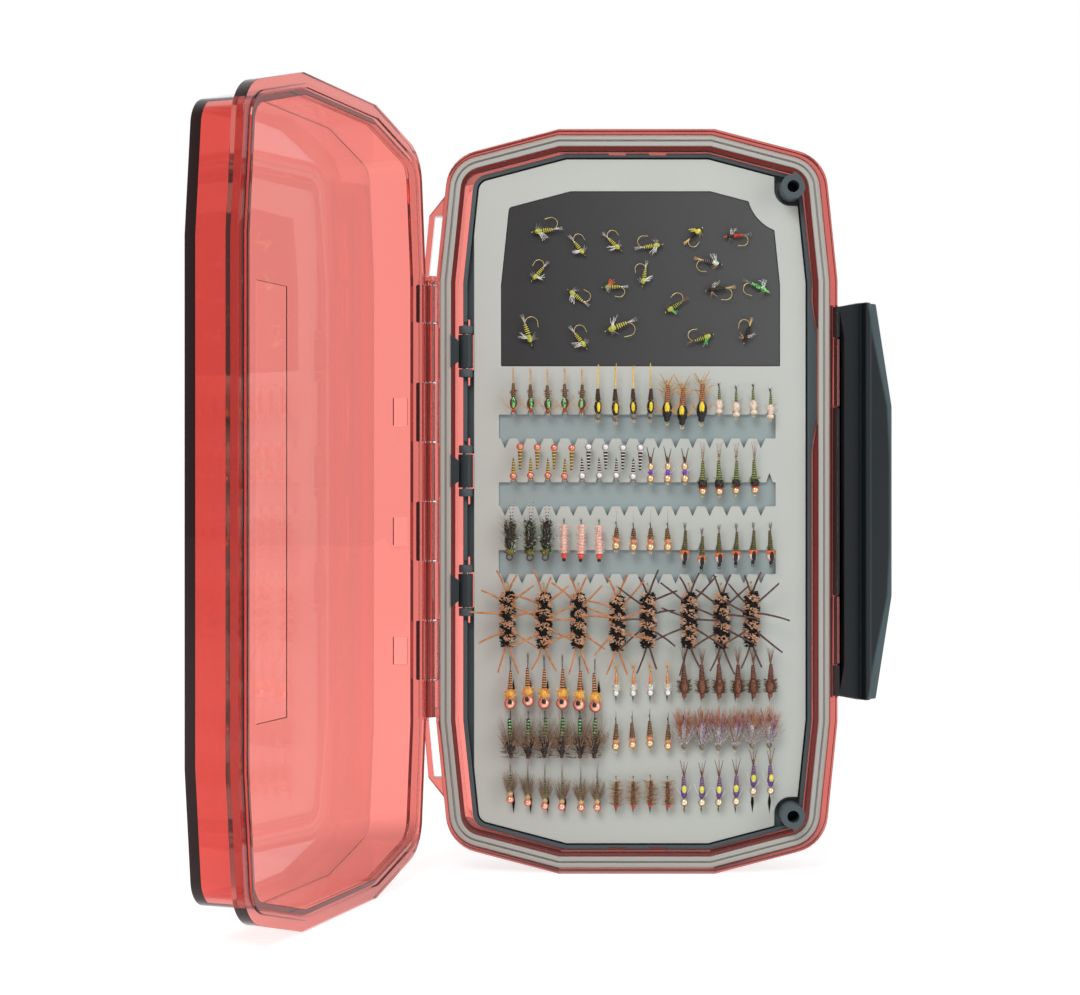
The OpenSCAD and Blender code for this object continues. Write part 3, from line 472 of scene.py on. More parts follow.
# The first colour of each bead and wire finish is a painted reflection, the second its own colour
GOLD_WIRE = bead_finish("gold_wire", (232, 214, 150), (170, 140, 80), 0.22)
DARK_WIRE = bead_finish("dark_wire", (96, 90, 82), (40, 36, 32), 0.3, 0.6)
GOLD_BEAD = bead_finish("gold_bead", (255, 238, 190), (206, 120, 36))
PALE_GOLD_BEAD = bead_finish("pale_gold_bead", (255, 247, 218), (176, 134, 74), 0.18)
COPPER_BEAD = bead_finish("copper_bead", (255, 206, 182), (222, 92, 60))
PINK_BEAD = bead_finish("pink_copper_bead", (250, 178, 150), (214, 84, 60), 0.16)
SILVER_BEAD = bead_finish("silver_bead", (255, 255, 255), (138, 128, 122), 0.16, 0.25)
WHITE_BEAD = bead_finish("white_bead", (252, 248, 242), (196, 158, 140), 0.22, 0.2)
GREEN_FLASH = flash("green_flash", (20, 60, 44), (64, 178, 112), (176, 226, 120), (90, 200, 190))
PEARL = flash("pearl_flash", (206, 196, 190), (246, 240, 226), (178, 226, 206), (240, 214, 226))
PURPLE_FLASH = flash("purple_flash", (92, 58, 190), (168, 140, 240), (226, 216, 250))


# ---------------------------------------------------------------- tying tools, in millimetres

FLY_Y = -1.9          # the flies' bodies lie in this plane, above the mat
SLIT_X = [-31.5 + 4.38 * i for i in range(16)]
FRONT = 0.62 * math.pi      # hairs grow this far round to both sides of a body's front
HOOK_BEND = 1.35      # radius of the bend of a hook


def turned(rings, sides=10):
    """A closed round form, drawn out ring by ring; each ring is (height, radius, finish)."""
    bpy.ops.object.select_all(action="DESELECT")
    height, radius, _ = rings[0]
    bpy.ops.mesh.primitive_circle_add(vertices=sides, radius=radius * MM, fill_type="NGON",
                                      location=(0, 0, height * MM))
    form = bpy.context.object
    bpy.ops.object.transform_apply(location=True)
    bpy.ops.object.mode_set(mode="EDIT")
    bpy.ops.mesh.select_all(action="SELECT")
    for up, reach, _ in rings[1:]:
        bpy.ops.mesh.extrude_region_move(
            TRANSFORM_OT_translate={"value": (0, 0, (up - height) * MM)})
        bpy.ops.transform.resize(value=(reach / radius, reach / radius, 1),
                                 center_override=(0, 0, up * MM))
        height, radius = up, reach
    bpy.ops.mesh.select_all(action="SELECT")
    bpy.ops.mesh.normals_make_consistent(inside=False)
    bpy.ops.object.mode_set(mode="OBJECT")
    finishes = list(dict.fromkeys(ring[2] for ring in rings))
    for each in finishes:
        form.data.materials.append(each)
    for face in form.data.polygons:
        middle = face.center.z / MM
        nearest = min(range(len(rings) - 1),
                      key=lambda i: abs((rings[i][0] + rings[i + 1][0]) / 2 - middle))
        face.material_index = finishes.index(rings[nearest + 1][2])
    pick(form)
    bpy.ops.object.shade_smooth_by_angle(angle=math.radians(50))
    return form


def ribbed(top, low, slim, full, ribs, ground, rib, start=0.45):
    """Rings of an abdomen from its tail down: each step is bare ground up to start, then a rib."""
    step = (low - top) / ribs
    rings = []
    for i in range(ribs):
        radius = slim + (full - slim) * i / ribs
        rings += [(top + step * i, radius * 0.84, ground),
                  (top + step * (i + start), radius * 0.9, ground),
                  (top + step * (i + start + 0.12), radius * 1.08, rib),
                  (top + step * (i + 0.86), radius * 1.08, rib)]
    return rings


def ball(top, low, full, finish, steps=7):
    """Rings of a rounded form between two heights, cut off a little short of its poles."""
    rings = []
    for i in range(steps + 1):
        angle = math.pi * (0.08 + 0.84 * i / steps)
        rings.append(((top + low) / 2 + (top - low) / 2 * math.cos(angle),
                      full * math.sin(angle), finish))
    return rings


def spot(up, tall, wide, reach, finish):
    """A varnished wing case on the front of a thorax."""
    bpy.ops.object.select_all(action="DESELECT")
    bpy.ops.mesh.primitive_uv_sphere_add(segments=12, ring_count=8, radius=MM, location=(0, 0, 0))
    case = bpy.context.object
    bpy.ops.object.mode_set(mode="EDIT")
    bpy.ops.mesh.select_all(action="SELECT")
    bpy.ops.transform.resize(value=(wide, 0.45 * wide, tall), center_override=(0, 0, 0))
    bpy.ops.transform.translate(value=(0, -reach * MM, up * MM))
    bpy.ops.object.mode_set(mode="OBJECT")
    case.data.materials.append(finish)
    bpy.ops.object.shade_smooth()
    return case


def eye(up, size, finish):
    """The hook's eye, a small ring at the head."""
    bpy.ops.object.select_all(action="DESELECT")
    bpy.ops.mesh.primitive_torus_add(major_radius=size * MM, minor_radius=size * 0.28 * MM,
                                     major_segments=12, minor_segments=6, location=(0, 0, up * MM),
                                     rotation=(math.radians(70), 0, 0))
    ring = bpy.context.object
    bpy.ops.object.transform_apply(location=True, rotation=True)
    ring.data.materials.append(finish)
    bpy.ops.object.shade_smooth()
    return ring


def joined(parts):
    pick(*parts)
    if len(parts) > 1:
        bpy.ops.object.join()
    return bpy.context.view_layer.objects.active


class Strands:
    """Hairs, legs and wires of one kind of fly: curves that become a mesh.

    x and up are the place of the fly that is being trimmed. The heights that its tail, legs,
    fuzz, fan and hook are given are those in a fly that sits in its row, with up at 0."""

    def __init__(self, chance, sides=4):
        self.chance, self.finishes = chance, []
        self.x = self.up = 0.0
        self.curve = bpy.data.curves.new("strands", "CURVE")
        self.curve.dimensions, self.curve.use_fill_caps = "3D", True
        self.curve.bevel_depth, self.curve.bevel_resolution = MM, (sides - 4) // 2

    def draw(self, finish, points, thick, thin=None):
        if finish not in self.finishes:
            self.finishes.append(finish)
            self.curve.materials.append(finish)
        thin = thick if thin is None else thin
        line = self.curve.splines.new("POLY")
        line.points.add(len(points) - 1)
        line.material_index = self.finishes.index(finish)
        for i, (knot, point) in enumerate(zip(line.points, points)):
            knot.co = (point[0] * MM, point[1] * MM, (point[2] + MIDDLE) * MM, 1)
            knot.radius = thick + (thin - thick) * i / (len(points) - 1)

    def sweep(self, finish, start, along, length, bow=(0, 0, 0), thick=0.07, thin=0.03, steps=4):
        """One strand that leaves its root along a heading and bows away from it."""
        start, along, bow = Vector(start), Vector(along).normalized(), Vector(bow)
        self.draw(finish, [start + along * (length * k / steps) + bow * (k / steps) ** 2
                           for k in range(steps + 1)], thick, thin)

    def tail(self, height, rise, spread, count, finish, thick=0.07, aside=0.0):
        """Fibres side by side that stand up from a tail or, with a negative rise, hang down."""
        x, up = self.x + aside, self.up + height
        for i in range(count):
            lean = spread * ((i + 0.5) / count * 2 - 1) + self.chance.uniform(-0.06, 0.06)
            self.sweep(finish, (x + lean * 0.15, FLY_Y, up),
                       (lean, self.chance.uniform(-0.12, 0.08), rise),
                       rise * self.chance.uniform(0.85, 1.08), (lean * 0.4, 0, 0),
                       thick, thick * 0.4)

    def legs(self, height, reach, drop, count, finish, thick=0.07):
        """Fibres on both sides of a thorax, swept down or, with a negative drop, up."""
        x, up = self.x, self.up + height
        for side in (-1, 1):
            for _ in range(count):
                root = (x + side * 0.5, FLY_Y - 0.2, up + self.chance.uniform(-0.5, 0.5))
                self.sweep(finish, root,
                           (side, self.chance.uniform(-0.5, 0.2), self.chance.uniform(-0.2, 0.45)),
                           reach * self.chance.uniform(0.7, 1.1),
                           (0, 0, -drop * self.chance.uniform(0.6, 1.2)), thick, thick * 0.45)

    def fuzz(self, top, low, radius, length, count, finishes, rise=0.3, thick=0.06):
        """Short hairs all round a body; those on its back are left out."""
        x, top, low = self.x, self.up + top, self.up + low
        for _ in range(count):
            angle = self.chance.uniform(-FRONT, FRONT)
            out = Vector((math.sin(angle), -math.cos(angle), 0))
            up = self.chance.uniform(low, top)
            root = Vector((x, FLY_Y, up)) + out * radius * 0.8
            self.sweep(self.chance.choice(finishes), root,
                       out + Vector((0, 0, rise * self.chance.uniform(0.2, 1.8))),
                       length * self.chance.uniform(0.55, 1.2),
                       (self.chance.uniform(-0.2, 0.2) * length, 0, 0.15 * length),
                       thick, thick * 0.4, 2)

    def fan(self, height, rise, spread, count, finish, thick=0.06, wave=0.0, depth=0.5):
        """A tuft that opens upwards."""
        x, up = self.x, self.up + height
        for _ in range(count):
            lean = self.chance.uniform(-1, 1) * spread
            out = self.chance.uniform(-depth, depth * 0.6)
            tall = rise * self.chance.uniform(0.6, 1.05) * (1 - 0.18 * abs(lean / spread))
            self.sweep(finish, (x + lean * 0.12, FLY_Y + 0.2 * out, up), (lean, out, tall),
                       math.hypot(lean, tall), (wave * self.chance.uniform(-1, 1), 0, 0),
                       thick, thick * 0.35)

    def hook(self, top, low, finish, thick=0.13):
        """The wire under a fly: its shank, and a bend whose point goes into the mat."""
        x, top, low = self.x, self.up + top, self.up + low
        arc = [(x, FLY_Y + HOOK_BEND - HOOK_BEND * math.cos(a), top + HOOK_BEND * math.sin(a) + 0.2)
               for a in (math.pi * k / 8 for k in range(9))]
        self.draw(finish, [(x, FLY_Y, low)] + arc + [(x, FLY_Y + 2 * HOOK_BEND, top - 1.4)],
                  thick, thick * 0.8)

    def mesh(self):
        strands = link("strands", self.curve)
        pick(strands)
        bpy.ops.object.convert(target="MESH")
        return bpy.context.object


def settle(flies, node):
    """Names a finished kind of fly, which rides on the leaf and stands for its CAD solids."""
    flies.name = flies.data.name = "tied_" + node
    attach(flies, "leaf")
    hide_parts(node)


def tie(node, parts, places, trim, hook=None):
    """Flies of one kind: a body modelled once and copied to its places, each with its strands.

    places are (x, how much it sits above its row), trim(strands) draws one fly's strands, and
    hook is (its top, its foot, its finish)."""
    chance = random.Random(node + "1")
    strands = Strands(chance)
    body = joined(parts)
    copies = []
    middle = sum((Vector(corner) for corner in body.bound_box), Vector()) / 8
    for x, up in places:
        fly = body.copy()
        fly.data = body.data.copy()
        bpy.context.scene.collection.objects.link(fly)
        turn = Matrix.Rotation(math.radians(chance.uniform(-14, 14)), 4, "Z")
        lean = Matrix.Rotation(math.radians(chance.uniform(-2.5, 2.5)), 4, "Y")
        size = Matrix.Scale(chance.uniform(0.97, 1.03), 4)
        fly.data.transform(Matrix.Translation((x * MM, FLY_Y * MM, (MIDDLE + up) * MM)) @
                           Matrix.Translation(middle) @ turn @ lean @ size @
                           Matrix.Translation(-middle))
        copies.append(fly)
        strands.x, strands.up = x, up
        trim(strands)
        if hook:
            strands.hook(*hook)
    bpy.data.objects.remove(body)
    settle(joined(copies + [strands.mesh()]), node)


def row(first, count, shifts=(), nudges=(), step=1):
    """Places over neighbouring slits, with each fly's own shift up and nudge sideways."""
    return [(SLIT_X[first + i * step] + (nudges[i] if nudges else 0.0),
             shifts[i] if shifts else 0.0) for i in range(count)]


# ---------------------------------------------------------------- top row

tie("flies_green_flash",
    [turned(ribbed(29.9, 26.6, 0.4, 0.75, 7, BROWN, ORE, 0.6) + ball(26.5, 23.5, 0.95, BROWN)
            + ball(23.7, 22.8, 0.55, RED, 4)),
     spot(25.0, 1.4, 0.42, 0.8, GREEN_FLASH), eye(22.5, 0.3, GOLD_WIRE)],
    row(0, 5, (0.2, 0, -0.2, 0.1, -0.1)),
    lambda s: (s.tail(29.7, 4.2, 0.2, 6, TAN, 0.12),
               s.legs(23.9, 2.6, -2.4, 3, TAN, 0.1), s.legs(28, 0.6, 0.1, 6, BROWN, 0.06)),
    (29.6, 22.7, DARK_WIRE))

tie("flies_dark_tan",
    [turned(ribbed(28.9, 25.8, 0.45, 0.8, 6, BLACK, BROWN) + ball(26.0, 22.2, 0.98, BLACK)
            + ball(22.4, 20.8, 0.85, GREY_HAIR, 5)),
     spot(24.1, 1.3, 0.48, 0.86, YELLOW), eye(20.4, 0.36, GOLD_WIRE)],
    row(5, 4, (0, -0.3, 0, 0.1), (-0.3, -0.2, 0, 0)),
    lambda s: (s.tail(28.7, 6.4, 0.15, 3, GOLD_HAIR, 0.2),
               s.fuzz(26, 22, 0.9, 1.3, 14, [GOLD_HAIR, TAN], 0.4)),
    (28.6, 20.7, GOLD_WIRE))

tie("flies_rubber_leg",
    [turned(ribbed(29.6, 25.0, 0.6, 0.95, 9, BRONZE, COPPER_WIRE, 0.6)
            + ball(25.4, 20.7, 1.4, BLACK) + ball(21.5, 20.0, 0.85, BLACK, 5)),
     spot(23.6, 1.5, 0.68, 1.1, YELLOW), eye(19.5, 0.42, GOLD_WIRE)],
    row(9, 3, (0.2, -0.6, 0.3), (-0.1, -0.6, 0.0)),
    lambda s: (s.tail(29.3, 3.6, 2.6, 2, AMBER_RUBBER, 0.22),
               s.legs(28, 2.6, -0.6, 1, AMBER_RUBBER, 0.2),
               s.legs(22.4, 2.9, -2.0, 2, AMBER_RUBBER, 0.19),
               s.fuzz(30.5, 26, 0.8, 2.4, 40, [TAN, GOLD_HAIR, HAZE_HAIR], 0.8, 0.05)),
    (29.3, 20.2, GOLD_WIRE))

tie("flies_cream",
    [turned(ribbed(28.4, 25.5, 0.3, 0.52, 6, DARK_OLIVE, OLIVE) + ball(25.7, 22.8, 0.95, CREAM)
            + ball(23.1, 21.8, 1.0, CREAM, 5)), eye(21.5, 0.3, GOLD_WIRE)],
    row(12, 4, (0.5, -0.2, 0.3, -0.8)),
    lambda s: (s.tail(28.2, 1.9, 0.5, 4, GREY_HAIR, 0.05),
               s.fuzz(26, 23, 0.9, 1.6, 22, [GREY_HAIR, SILVER_HAIR], 0.5, 0.035)),
    (28.2, 21.9, DARK_WIRE))


# ---------------------------------------------------------------- second row

for node, first, ground, rib, bead_kind, tint in (
        ("midges_copper", 0, SEDGE, GOLD_HAIR, PINK_BEAD, "fly_copper"),
        ("midges_silver", 4, BLACK, WHITE, SILVER_BEAD, "fly_dark")):
    # They sit in pairs: the second is upside down, beside and above the first
    upper = turned([(17.0 - up, radius, finish) for up, radius, finish in
                    ribbed(8.8, 3.9, 0.34, 0.68, 6, ground, rib, 0.55)
                    + ball(4.0, 2.2, 0.95, bead_kind)])
    upper.data.transform(Matrix.Translation((1.7 * MM, 0, 0.0)))
    tie(node, [turned(ribbed(10.7, 7.4, 0.3, 0.64, 5, ground, rib, 0.55)
                      + ball(7.5, 5.7, 0.95, bead_kind)), upper, eye(5.6, 0.28, GOLD_WIRE)],
        row(first, 4, (0, 0, -0.05, -0.2)),
        lambda s: (s.tail(10.6, 0.7, 0.12, 3, GREY_HAIR, 0.05),
                   s.tail(8.2, -0.7, 0.12, 3, GREY_HAIR, 0.05, aside=1.7),
                   s.hook(9.6, 6, DARK_WIRE, 0.1)), None)

tie("nymphs_purple",
    [turned(ball(9.9, 7.9, 0.82, GOLD_BEAD) + ball(8.1, 6.6, 0.6, PURPLE, 5)
            + ball(6.9, 4.8, 1.0, GOLD_BEAD)), eye(4.6, 0.3, GOLD_WIRE)],
    row(8, 3),
    lambda s: (s.tail(9.6, 4.3, 1.2, 2, BROWN, 0.2),
               s.legs(7.4, 1.5, -1.4, 1, WHITE, 0.07),
               s.legs(7.2, 0.7, -0.1, 4, PURPLE_FLASH, 0.08)),
    (9.9, 5, DARK_WIRE))

tie("nymphs_black_olive",
    [turned(ribbed(10.4, 5.6, 0.4, 0.85, 8, DARK_OLIVE, OLIVE) + ball(5.9, 3.3, 1.2, BLACK)
            + ball(3.9, 3.0, 1.0, RED, 4) + ball(3.7, 1.8, 0.98, GOLD_BEAD)),
     eye(1.5, 0.3, GOLD_WIRE)],
    row(11, 4, (-0.1, -0.1, 0.0, 0.2), (0.2, 0.0, 0, 0.3)),
    lambda s: (s.tail(10.2, 5.0, 0.6, 4, MOTTLED_HAIR, 0.1),
               s.fuzz(6, 3.4, 1.1, 0.7, 50, [BLACK, GREY_HAIR, DARK_OLIVE, LIME], 0.3, 0.06)),
    (10.2, 2.2, DARK_WIRE))


# ---------------------------------------------------------------- third row

tie("flies_shaggy_green",
    [turned(ball(-4.8, -13.4, 1.15, BLACK, 12) + ball(-11.9, -13.9, 1.2, MOSS, 6)),
     eye(-14.3, 0.8, DARK_WIRE)],
    row(0, 3, (0, 0, 0), (-0.8, -0.2, -0.4)),
    lambda s: (s.fuzz(-5, -13.4, 1.15, 0.75, 230, [BLACK, BLACK, DARK_OLIVE, MOTTLED_HAIR,
                                                   DARK_OLIVE, PEARL, GREEN_FLASH], 0.5, 0.12),
               s.fuzz(-5, -12, 1.1, 2.6, 60, [GREY_HAIR, BROWN_HAIR], 0.8, 0.03),
               s.tail(-5.3, 5.2, 0.9, 2, STRIPED_RUBBER, 0.13, aside=0.3),
               s.sweep(STRIPED_RUBBER, (s.x, FLY_Y - 0.8, -11 + s.up), (1, -0.3, 0.75), 3.6,
                       (0, 0, 0.2), 0.13, 0.11)),
    (-5.2, -13.6, DARK_WIRE))

tie("shrimps_pink",
    [turned(ribbed(-6.0, -13.4, 0.7, 0.9, 10, SHRIMP_SKIN, PINK, 0.62)
            + ball(-13.2, -14.7, 0.76, SCARLET, 5) + ball(-14.5, -15.4, 0.52, BLACK, 4))],
    row(3, 3, (0.1, 0, -0.1), (-0.2, -0.2, 0)),
    lambda s: (s.fuzz(-6, -13.4, 0.85, 0.75, 190, [PALE_PINK, WHITE, PALE_PINK, PINK, TAN],
                      0.2, 0.06),
               s.tail(-6, 1.7, 0.25, 5, GREY_HAIR, 0.07)),
    (-6.2, -14.4, DARK_WIRE))

tie("nymphs_brown_gold",
    [turned(ribbed(-6.8, -9.6, 0.5, 0.92, 5, BROWN, ORE, 0.65)
            + ball(-9.3, -10.8, 0.9, COPPER_WIRE, 5) + ball(-10.5, -12.6, 1.05, GOLD_BEAD)),
     eye(-13.0, 0.32, GOLD_WIRE)],
    row(6, 4, (0.2, -0.1, -0.1, -0.1)),
    lambda s: (s.tail(-6.6, 4.5, 0.1, 1, GREY_HAIR, 0.06),
               s.fuzz(-9, -10.4, 0.9, 0.5, 34, [AMBER, RUST, WHITE], 0.3, 0.07)),
    (-6.9, -12, DARK_WIRE))

tie("scuds_olive",
    [turned(ribbed(-7.4, -12.6, 0.35, 0.78, 9, SEDGE, DARK_OLIVE) + ball(-12.1, -14.4, 1.02, ORANGE)
            + ball(-12.9, -15.2, 1.12, WHITE_BEAD) + ball(-15.1, -16.2, 0.5, BLACK, 5)),
     spot(-14.0, 1.3, 0.6, 0.98, BLACK), eye(-16.4, 0.36, DARK_WIRE)],
    row(10, 6, (0, -1.3, -0.6, -0.2, 0.1, 0)),
    lambda s: (s.tail(-7.4, 2.1, 0.35, 6, GREY_HAIR, 0.1),
               s.legs(-12.9, 0.8, 0.3, 4, ORANGE, 0.1)),
    (-7.6, -15.4, DARK_WIRE))


# ---------------------------------------------------------------- stoneflies

def stonefly(rubber):
    """The trim of a stonefly: chenille with tan patches in slanting turns, and rubber legs."""
    def trim(s):
        x, up = s.x, s.up
        patches = [(-23.8 - 1.15 * k + s.chance.uniform(-0.4, 0.4), (-1.2, 0.2, 1.4)[k % 3])
                   for k in range(12)]
        for _ in range(620):
            angle = s.chance.uniform(-FRONT, FRONT)
            height = s.chance.uniform(-37.4, -23.4)
            near = min(math.hypot(height - patch_up, (angle - patch_angle) * 1.3)
                       for patch_up, patch_angle in patches)
            out = Vector((math.sin(angle), -math.cos(angle), 0))
            girth = 1.45 * math.sqrt(max(0.06, 1 - ((height + 30.4) / 7.9) ** 4))
            root = Vector((x, FLY_Y, height + up)) + out * girth
            s.sweep(CHENILLE_TAN if near < 1.05 else CHENILLE_BLACK, root,
                    out + Vector((s.chance.uniform(-.4, .4), 0, s.chance.uniform(-.5, .5))),
                    s.chance.uniform(0.45, 0.95), (0, 0, 0), 0.17, 0.1, 2)
        for side in (-1, 1):
            s.sweep(rubber, (x + side * 0.3, FLY_Y - 0.3, -23.6 + up), (side * 0.28, -0.15, 1),
                    s.chance.uniform(4.5, 6.5), (side * s.chance.uniform(0.3, 1.0), 0, 0),
                    0.3, 0.24, 6)
            s.sweep(rubber, (x + side * 0.3, FLY_Y - 0.3, -37 + up), (side * 0.3, -0.15, -1),
                    s.chance.uniform(6, 8), (side * s.chance.uniform(0.0, 1.2), 0, 0),
                    0.3, 0.24, 6)
            for height, lift in ((-26, 0.75), (-29.5, 0.25), (-33, -0.55)):
                root = (x + side * 1.2, FLY_Y - 0.9, height + up + s.chance.uniform(-.8, .8))
                s.sweep(rubber, root, (side, -0.35, lift + s.chance.uniform(-0.35, 0.35)),
                        s.chance.uniform(6.4, 9), (0, 0.8, s.chance.uniform(-1.6, 1.0)),
                        0.28, 0.22, 6)
    return trim


for node, first, rubber, shifts, nudges in (
        ("stoneflies_tan", 0, ORANGE_RUBBER, (0.4, 0, 0, -0.7), (-1.5, -1.0, -0.9, 0.3)),
        ("stoneflies_brown", 8, BROWN_RUBBER, (0, 0, 0, 0.4), (-0.65, 1.1, 0.65, -0.5))):
    tie(node, [turned(ball(-22.9, -37.9, 1.6, CHENILLE_BLACK, 14))],
        row(first, 4, shifts, nudges, 2), stonefly(rubber), (-22.4, -37, GOLD_WIRE))


# ---------------------------------------------------------------- fifth row

tie("nymphs_copper_bead",
    [turned(ribbed(-43.2, -48.2, 0.4, 0.78, 8, DARK_OLIVE, COPPER_WIRE)
            + ball(-48.0, -50.6, 1.25, AMBER, 6) + ball(-50.1, -53.3, 1.6, COPPER_BEAD, 9)),
     spot(-51.2, 0.7, 0.55, 1.45, BLACK)],
    row(0, 6, (0, 0.7, 0.2, 0.2, -0.2, -0.7), (-0.8, -0.7, -0.9, -0.6, -0.6, -1.1)),
    lambda s: (s.tail(-43, 3.6, 0.2, 7, GREY_HAIR, 0.11),
               s.fuzz(-48.2, -50.6, 1.2, 0.8, 90, [AMBER, LEMON, ORANGE, GOLD_HAIR, PALE_PINK],
                      0.5, 0.08)),
    (-43.2, -52, DARK_WIRE))

tie("nymphs_silver_bead",
    [turned(ribbed(-43.6, -46.8, 0.24, 0.6, 8, ORANGE, GOLD_WIRE)
            + ball(-46.4, -48.7, 0.9, PEARL, 6) + ball(-48.1, -49.9, 0.88, SILVER_BEAD))],
    row(6, 4, (0, 0, 0.1, 0.1)),
    lambda s: (s.tail(-43.4, 2.9, 1.1, 8, TAN, 0.06),
               s.fuzz(-46.4, -48.4, 0.85, 0.7, 50, [PALE_PINK, PEARL, CREAM, PINK], 0.4, 0.06)),
    (-43.8, -49.4, DARK_WIRE))

tie("nymphs_pheasant_tail",
    [turned(ribbed(-41.7, -45.8, 0.5, 0.95, 6, BROWN, BRONZE, 0.6) + ball(-45.3, -49.4, 1.3, BROWN)
            + ball(-48.9, -50.3, 0.62, RUST, 5)),
     spot(-47.2, 1.7, 0.75, 1.0, BRONZE)],
    row(10, 6, (0, 0, 0, 0, 0, 0.1), (-0.2, 0, 0, 0.4, 0, 0)),
    lambda s: (s.tail(-41.5, 4.2, 0.8, 7, BROWN_HAIR, 0.09),
               s.fuzz(-45.6, -49, 1.25, 1.0, 110, [DARK_OLIVE, BROWN, SEDGE, BROWN_HAIR],
                      0.2, 0.08),
               s.legs(-46.4, 1.8, -0.4, 2, GOLD_HAIR, 0.06)),
    (-42, -49.8, DARK_WIRE))


# ---------------------------------------------------------------- sixth row

tie("flies_black_hackle",
    [turned(ribbed(-55.4, -60.2, 0.5, 0.66, 6, BLACK, GREEN_FLASH) + ball(-59.4, -65.0, 1.25, BLACK)
            + ball(-64.6, -65.7, 0.6, BROWN, 5))],
    row(0, 6, (0, -0.1, 0.1, 0.1, 0, 0), (-0.8, -0.6, -0.7, -0.7, -0.5, -1.1)),
    lambda s: (s.fan(-64.2, 6.6, 3.3, 56, MOTTLED_HAIR, 0.12, 0.6, 2.2),
               s.fan(-63, 9.5, 2.8, 60, HAZE_HAIR, 0.05, 0.9, 1.6),
               s.fuzz(-60, -65.6, 1.2, 1.4, 60, [BLACK, MOTTLED_HAIR, MOTTLED_HAIR], -0.1, 0.11)),
    (-55.2, -65, DARK_WIRE))

tie("nymphs_gold_bead",
    [turned(ribbed(-57.0, -60.9, 0.42, 0.9, 7, BROWN, ORE, 0.62)
            + ball(-60.6, -61.9, 0.95, COPPER_WIRE, 5) + ball(-61.6, -63.5, 0.96, GOLD_BEAD)),
     eye(-63.8, 0.3, GOLD_WIRE)],
    row(6, 4, (0, 0.4, 0.8, 0), (-0.1, -0.3, -0.2, 0.1)),
    lambda s: (s.tail(-56.9, 3.2, 0.1, 2, BROWN_HAIR, 0.07),
               s.fuzz(-60.4, -61.6, 0.9, 0.5, 30, [AMBER, PURPLE_FLASH, PEARL], 0.3, 0.08)),
    (-57, -63, DARK_WIRE))

tie("flies_orange_tuft",
    [turned(ball(-56.5, -61.6, 0.75, SILVER_HAIR) + ball(-61.2, -63.4, 0.75, GREY_HAIR, 6)),
     eye(-63.8, 0.3, GOLD_WIRE)],
    row(10, 6, (0.1, 0, -0.1, -0.1, 0.4, 0.4), (-0.2, 0, -0.2, -0.2, -0.4, -0.3)),
    lambda s: (s.fan(-61, 8.8, 2.7, 120, GINGER_HAIR, 0.07, 0.5, 1.0),
               s.fan(-62.4, 6.6, 3.7, 84, SILVER_HAIR, 0.09, 0.3, 2.0),
               s.fan(-62, 8.6, 2.0, 7, PURPLE_FLASH, 0.1, 0.2, 1.8)),
    (-56.5, -63, DARK_WIRE))


# ---------------------------------------------------------------- lowest row

tie("flies_soft_hackle",
    [turned(ribbed(-71.0, -75.4, 0.32, 0.55, 7, DARK_OLIVE, OLIVE)
            + ball(-75.2, -76.6, 0.75, TAN, 5) + ball(-76.3, -78.3, 1.02, COPPER_BEAD))],
    row(0, 6, (1.1, 0.3, -0.6, -0.8, -1.0, -0.9), (-0.8, -0.7, -0.7, -0.7, -0.3, -0.5)),
    lambda s: (s.tail(-70.8, 4.6, 0.3, 4, GREY_HAIR, 0.06),
               s.fan(-76, 6.6, 2.2, 120, HAZE_HAIR, 0.05, 0.3, 1.2),
               s.fan(-76, 5.0, 2.2, 30, GREY_HAIR, 0.04, 0.3, 1.2)),
    (-71.2, -77, DARK_WIRE))

tie("nymphs_fuzzy_brown",
    [turned(ribbed(-71.6, -77.6, 0.5, 0.72, 9, BROWN, BRONZE) + ball(-77.3, -78.6, 0.55, RED, 5))],
    row(6, 4, (0, 0, 0.3, 0)),
    lambda s: (s.fuzz(-71.6, -77.8, 0.65, 1.6, 230,
                      [PINK, TAN, OLIVE, BROWN_HAIR, HAZE_HAIR, TAN], 0.15, 0.045),
               s.tail(-71.6, 1.2, 0.3, 5, GOLD_HAIR, 0.05)),
    (-71.9, -78, DARK_WIRE))

tie("nymphs_violet",
    [turned(ribbed(-70.4, -72.9, 0.5, 0.78, 4, PLUM, ORE, 0.6) + ball(-72.6, -75.9, 0.86, PLUM)
            + ball(-75.8, -77.8, 0.98, PALE_GOLD_BEAD)),
     spot(-73.5, 1.0, 0.62, 0.72, LEMON), eye(-78.0, 0.3, GOLD_WIRE)],
    row(10, 6, (0, -0.1, -0.1, 0.2, 2.8, 2.9), (-0.2, 0, 0, 0, 0, 0)),
    lambda s: (s.tail(-70.2, 4.2, 1.0, 3, BROWN_HAIR, 0.15),
               s.legs(-75, 1.6, -2.6, 1, WHITE, 0.11)),
    (-70.6, -77, DARK_WIRE))


# ---------------------------------------------------------------- flies on the magnetic sheet

# Finishes of a small fly that lies on its side: body, rib, tail, wing and thorax
OLIVE_DRY = (DARK_OLIVE, LEMON, SILVER_HAIR, WHITE, LIME)
GREEN_DRY = (BLACK, LIME, BROWN_HAIR, GREEN_FLASH, LIME)
BLACK_DRY = (BLACK, DARK_OLIVE, TAN, SILVER_HAIR, BLACK)
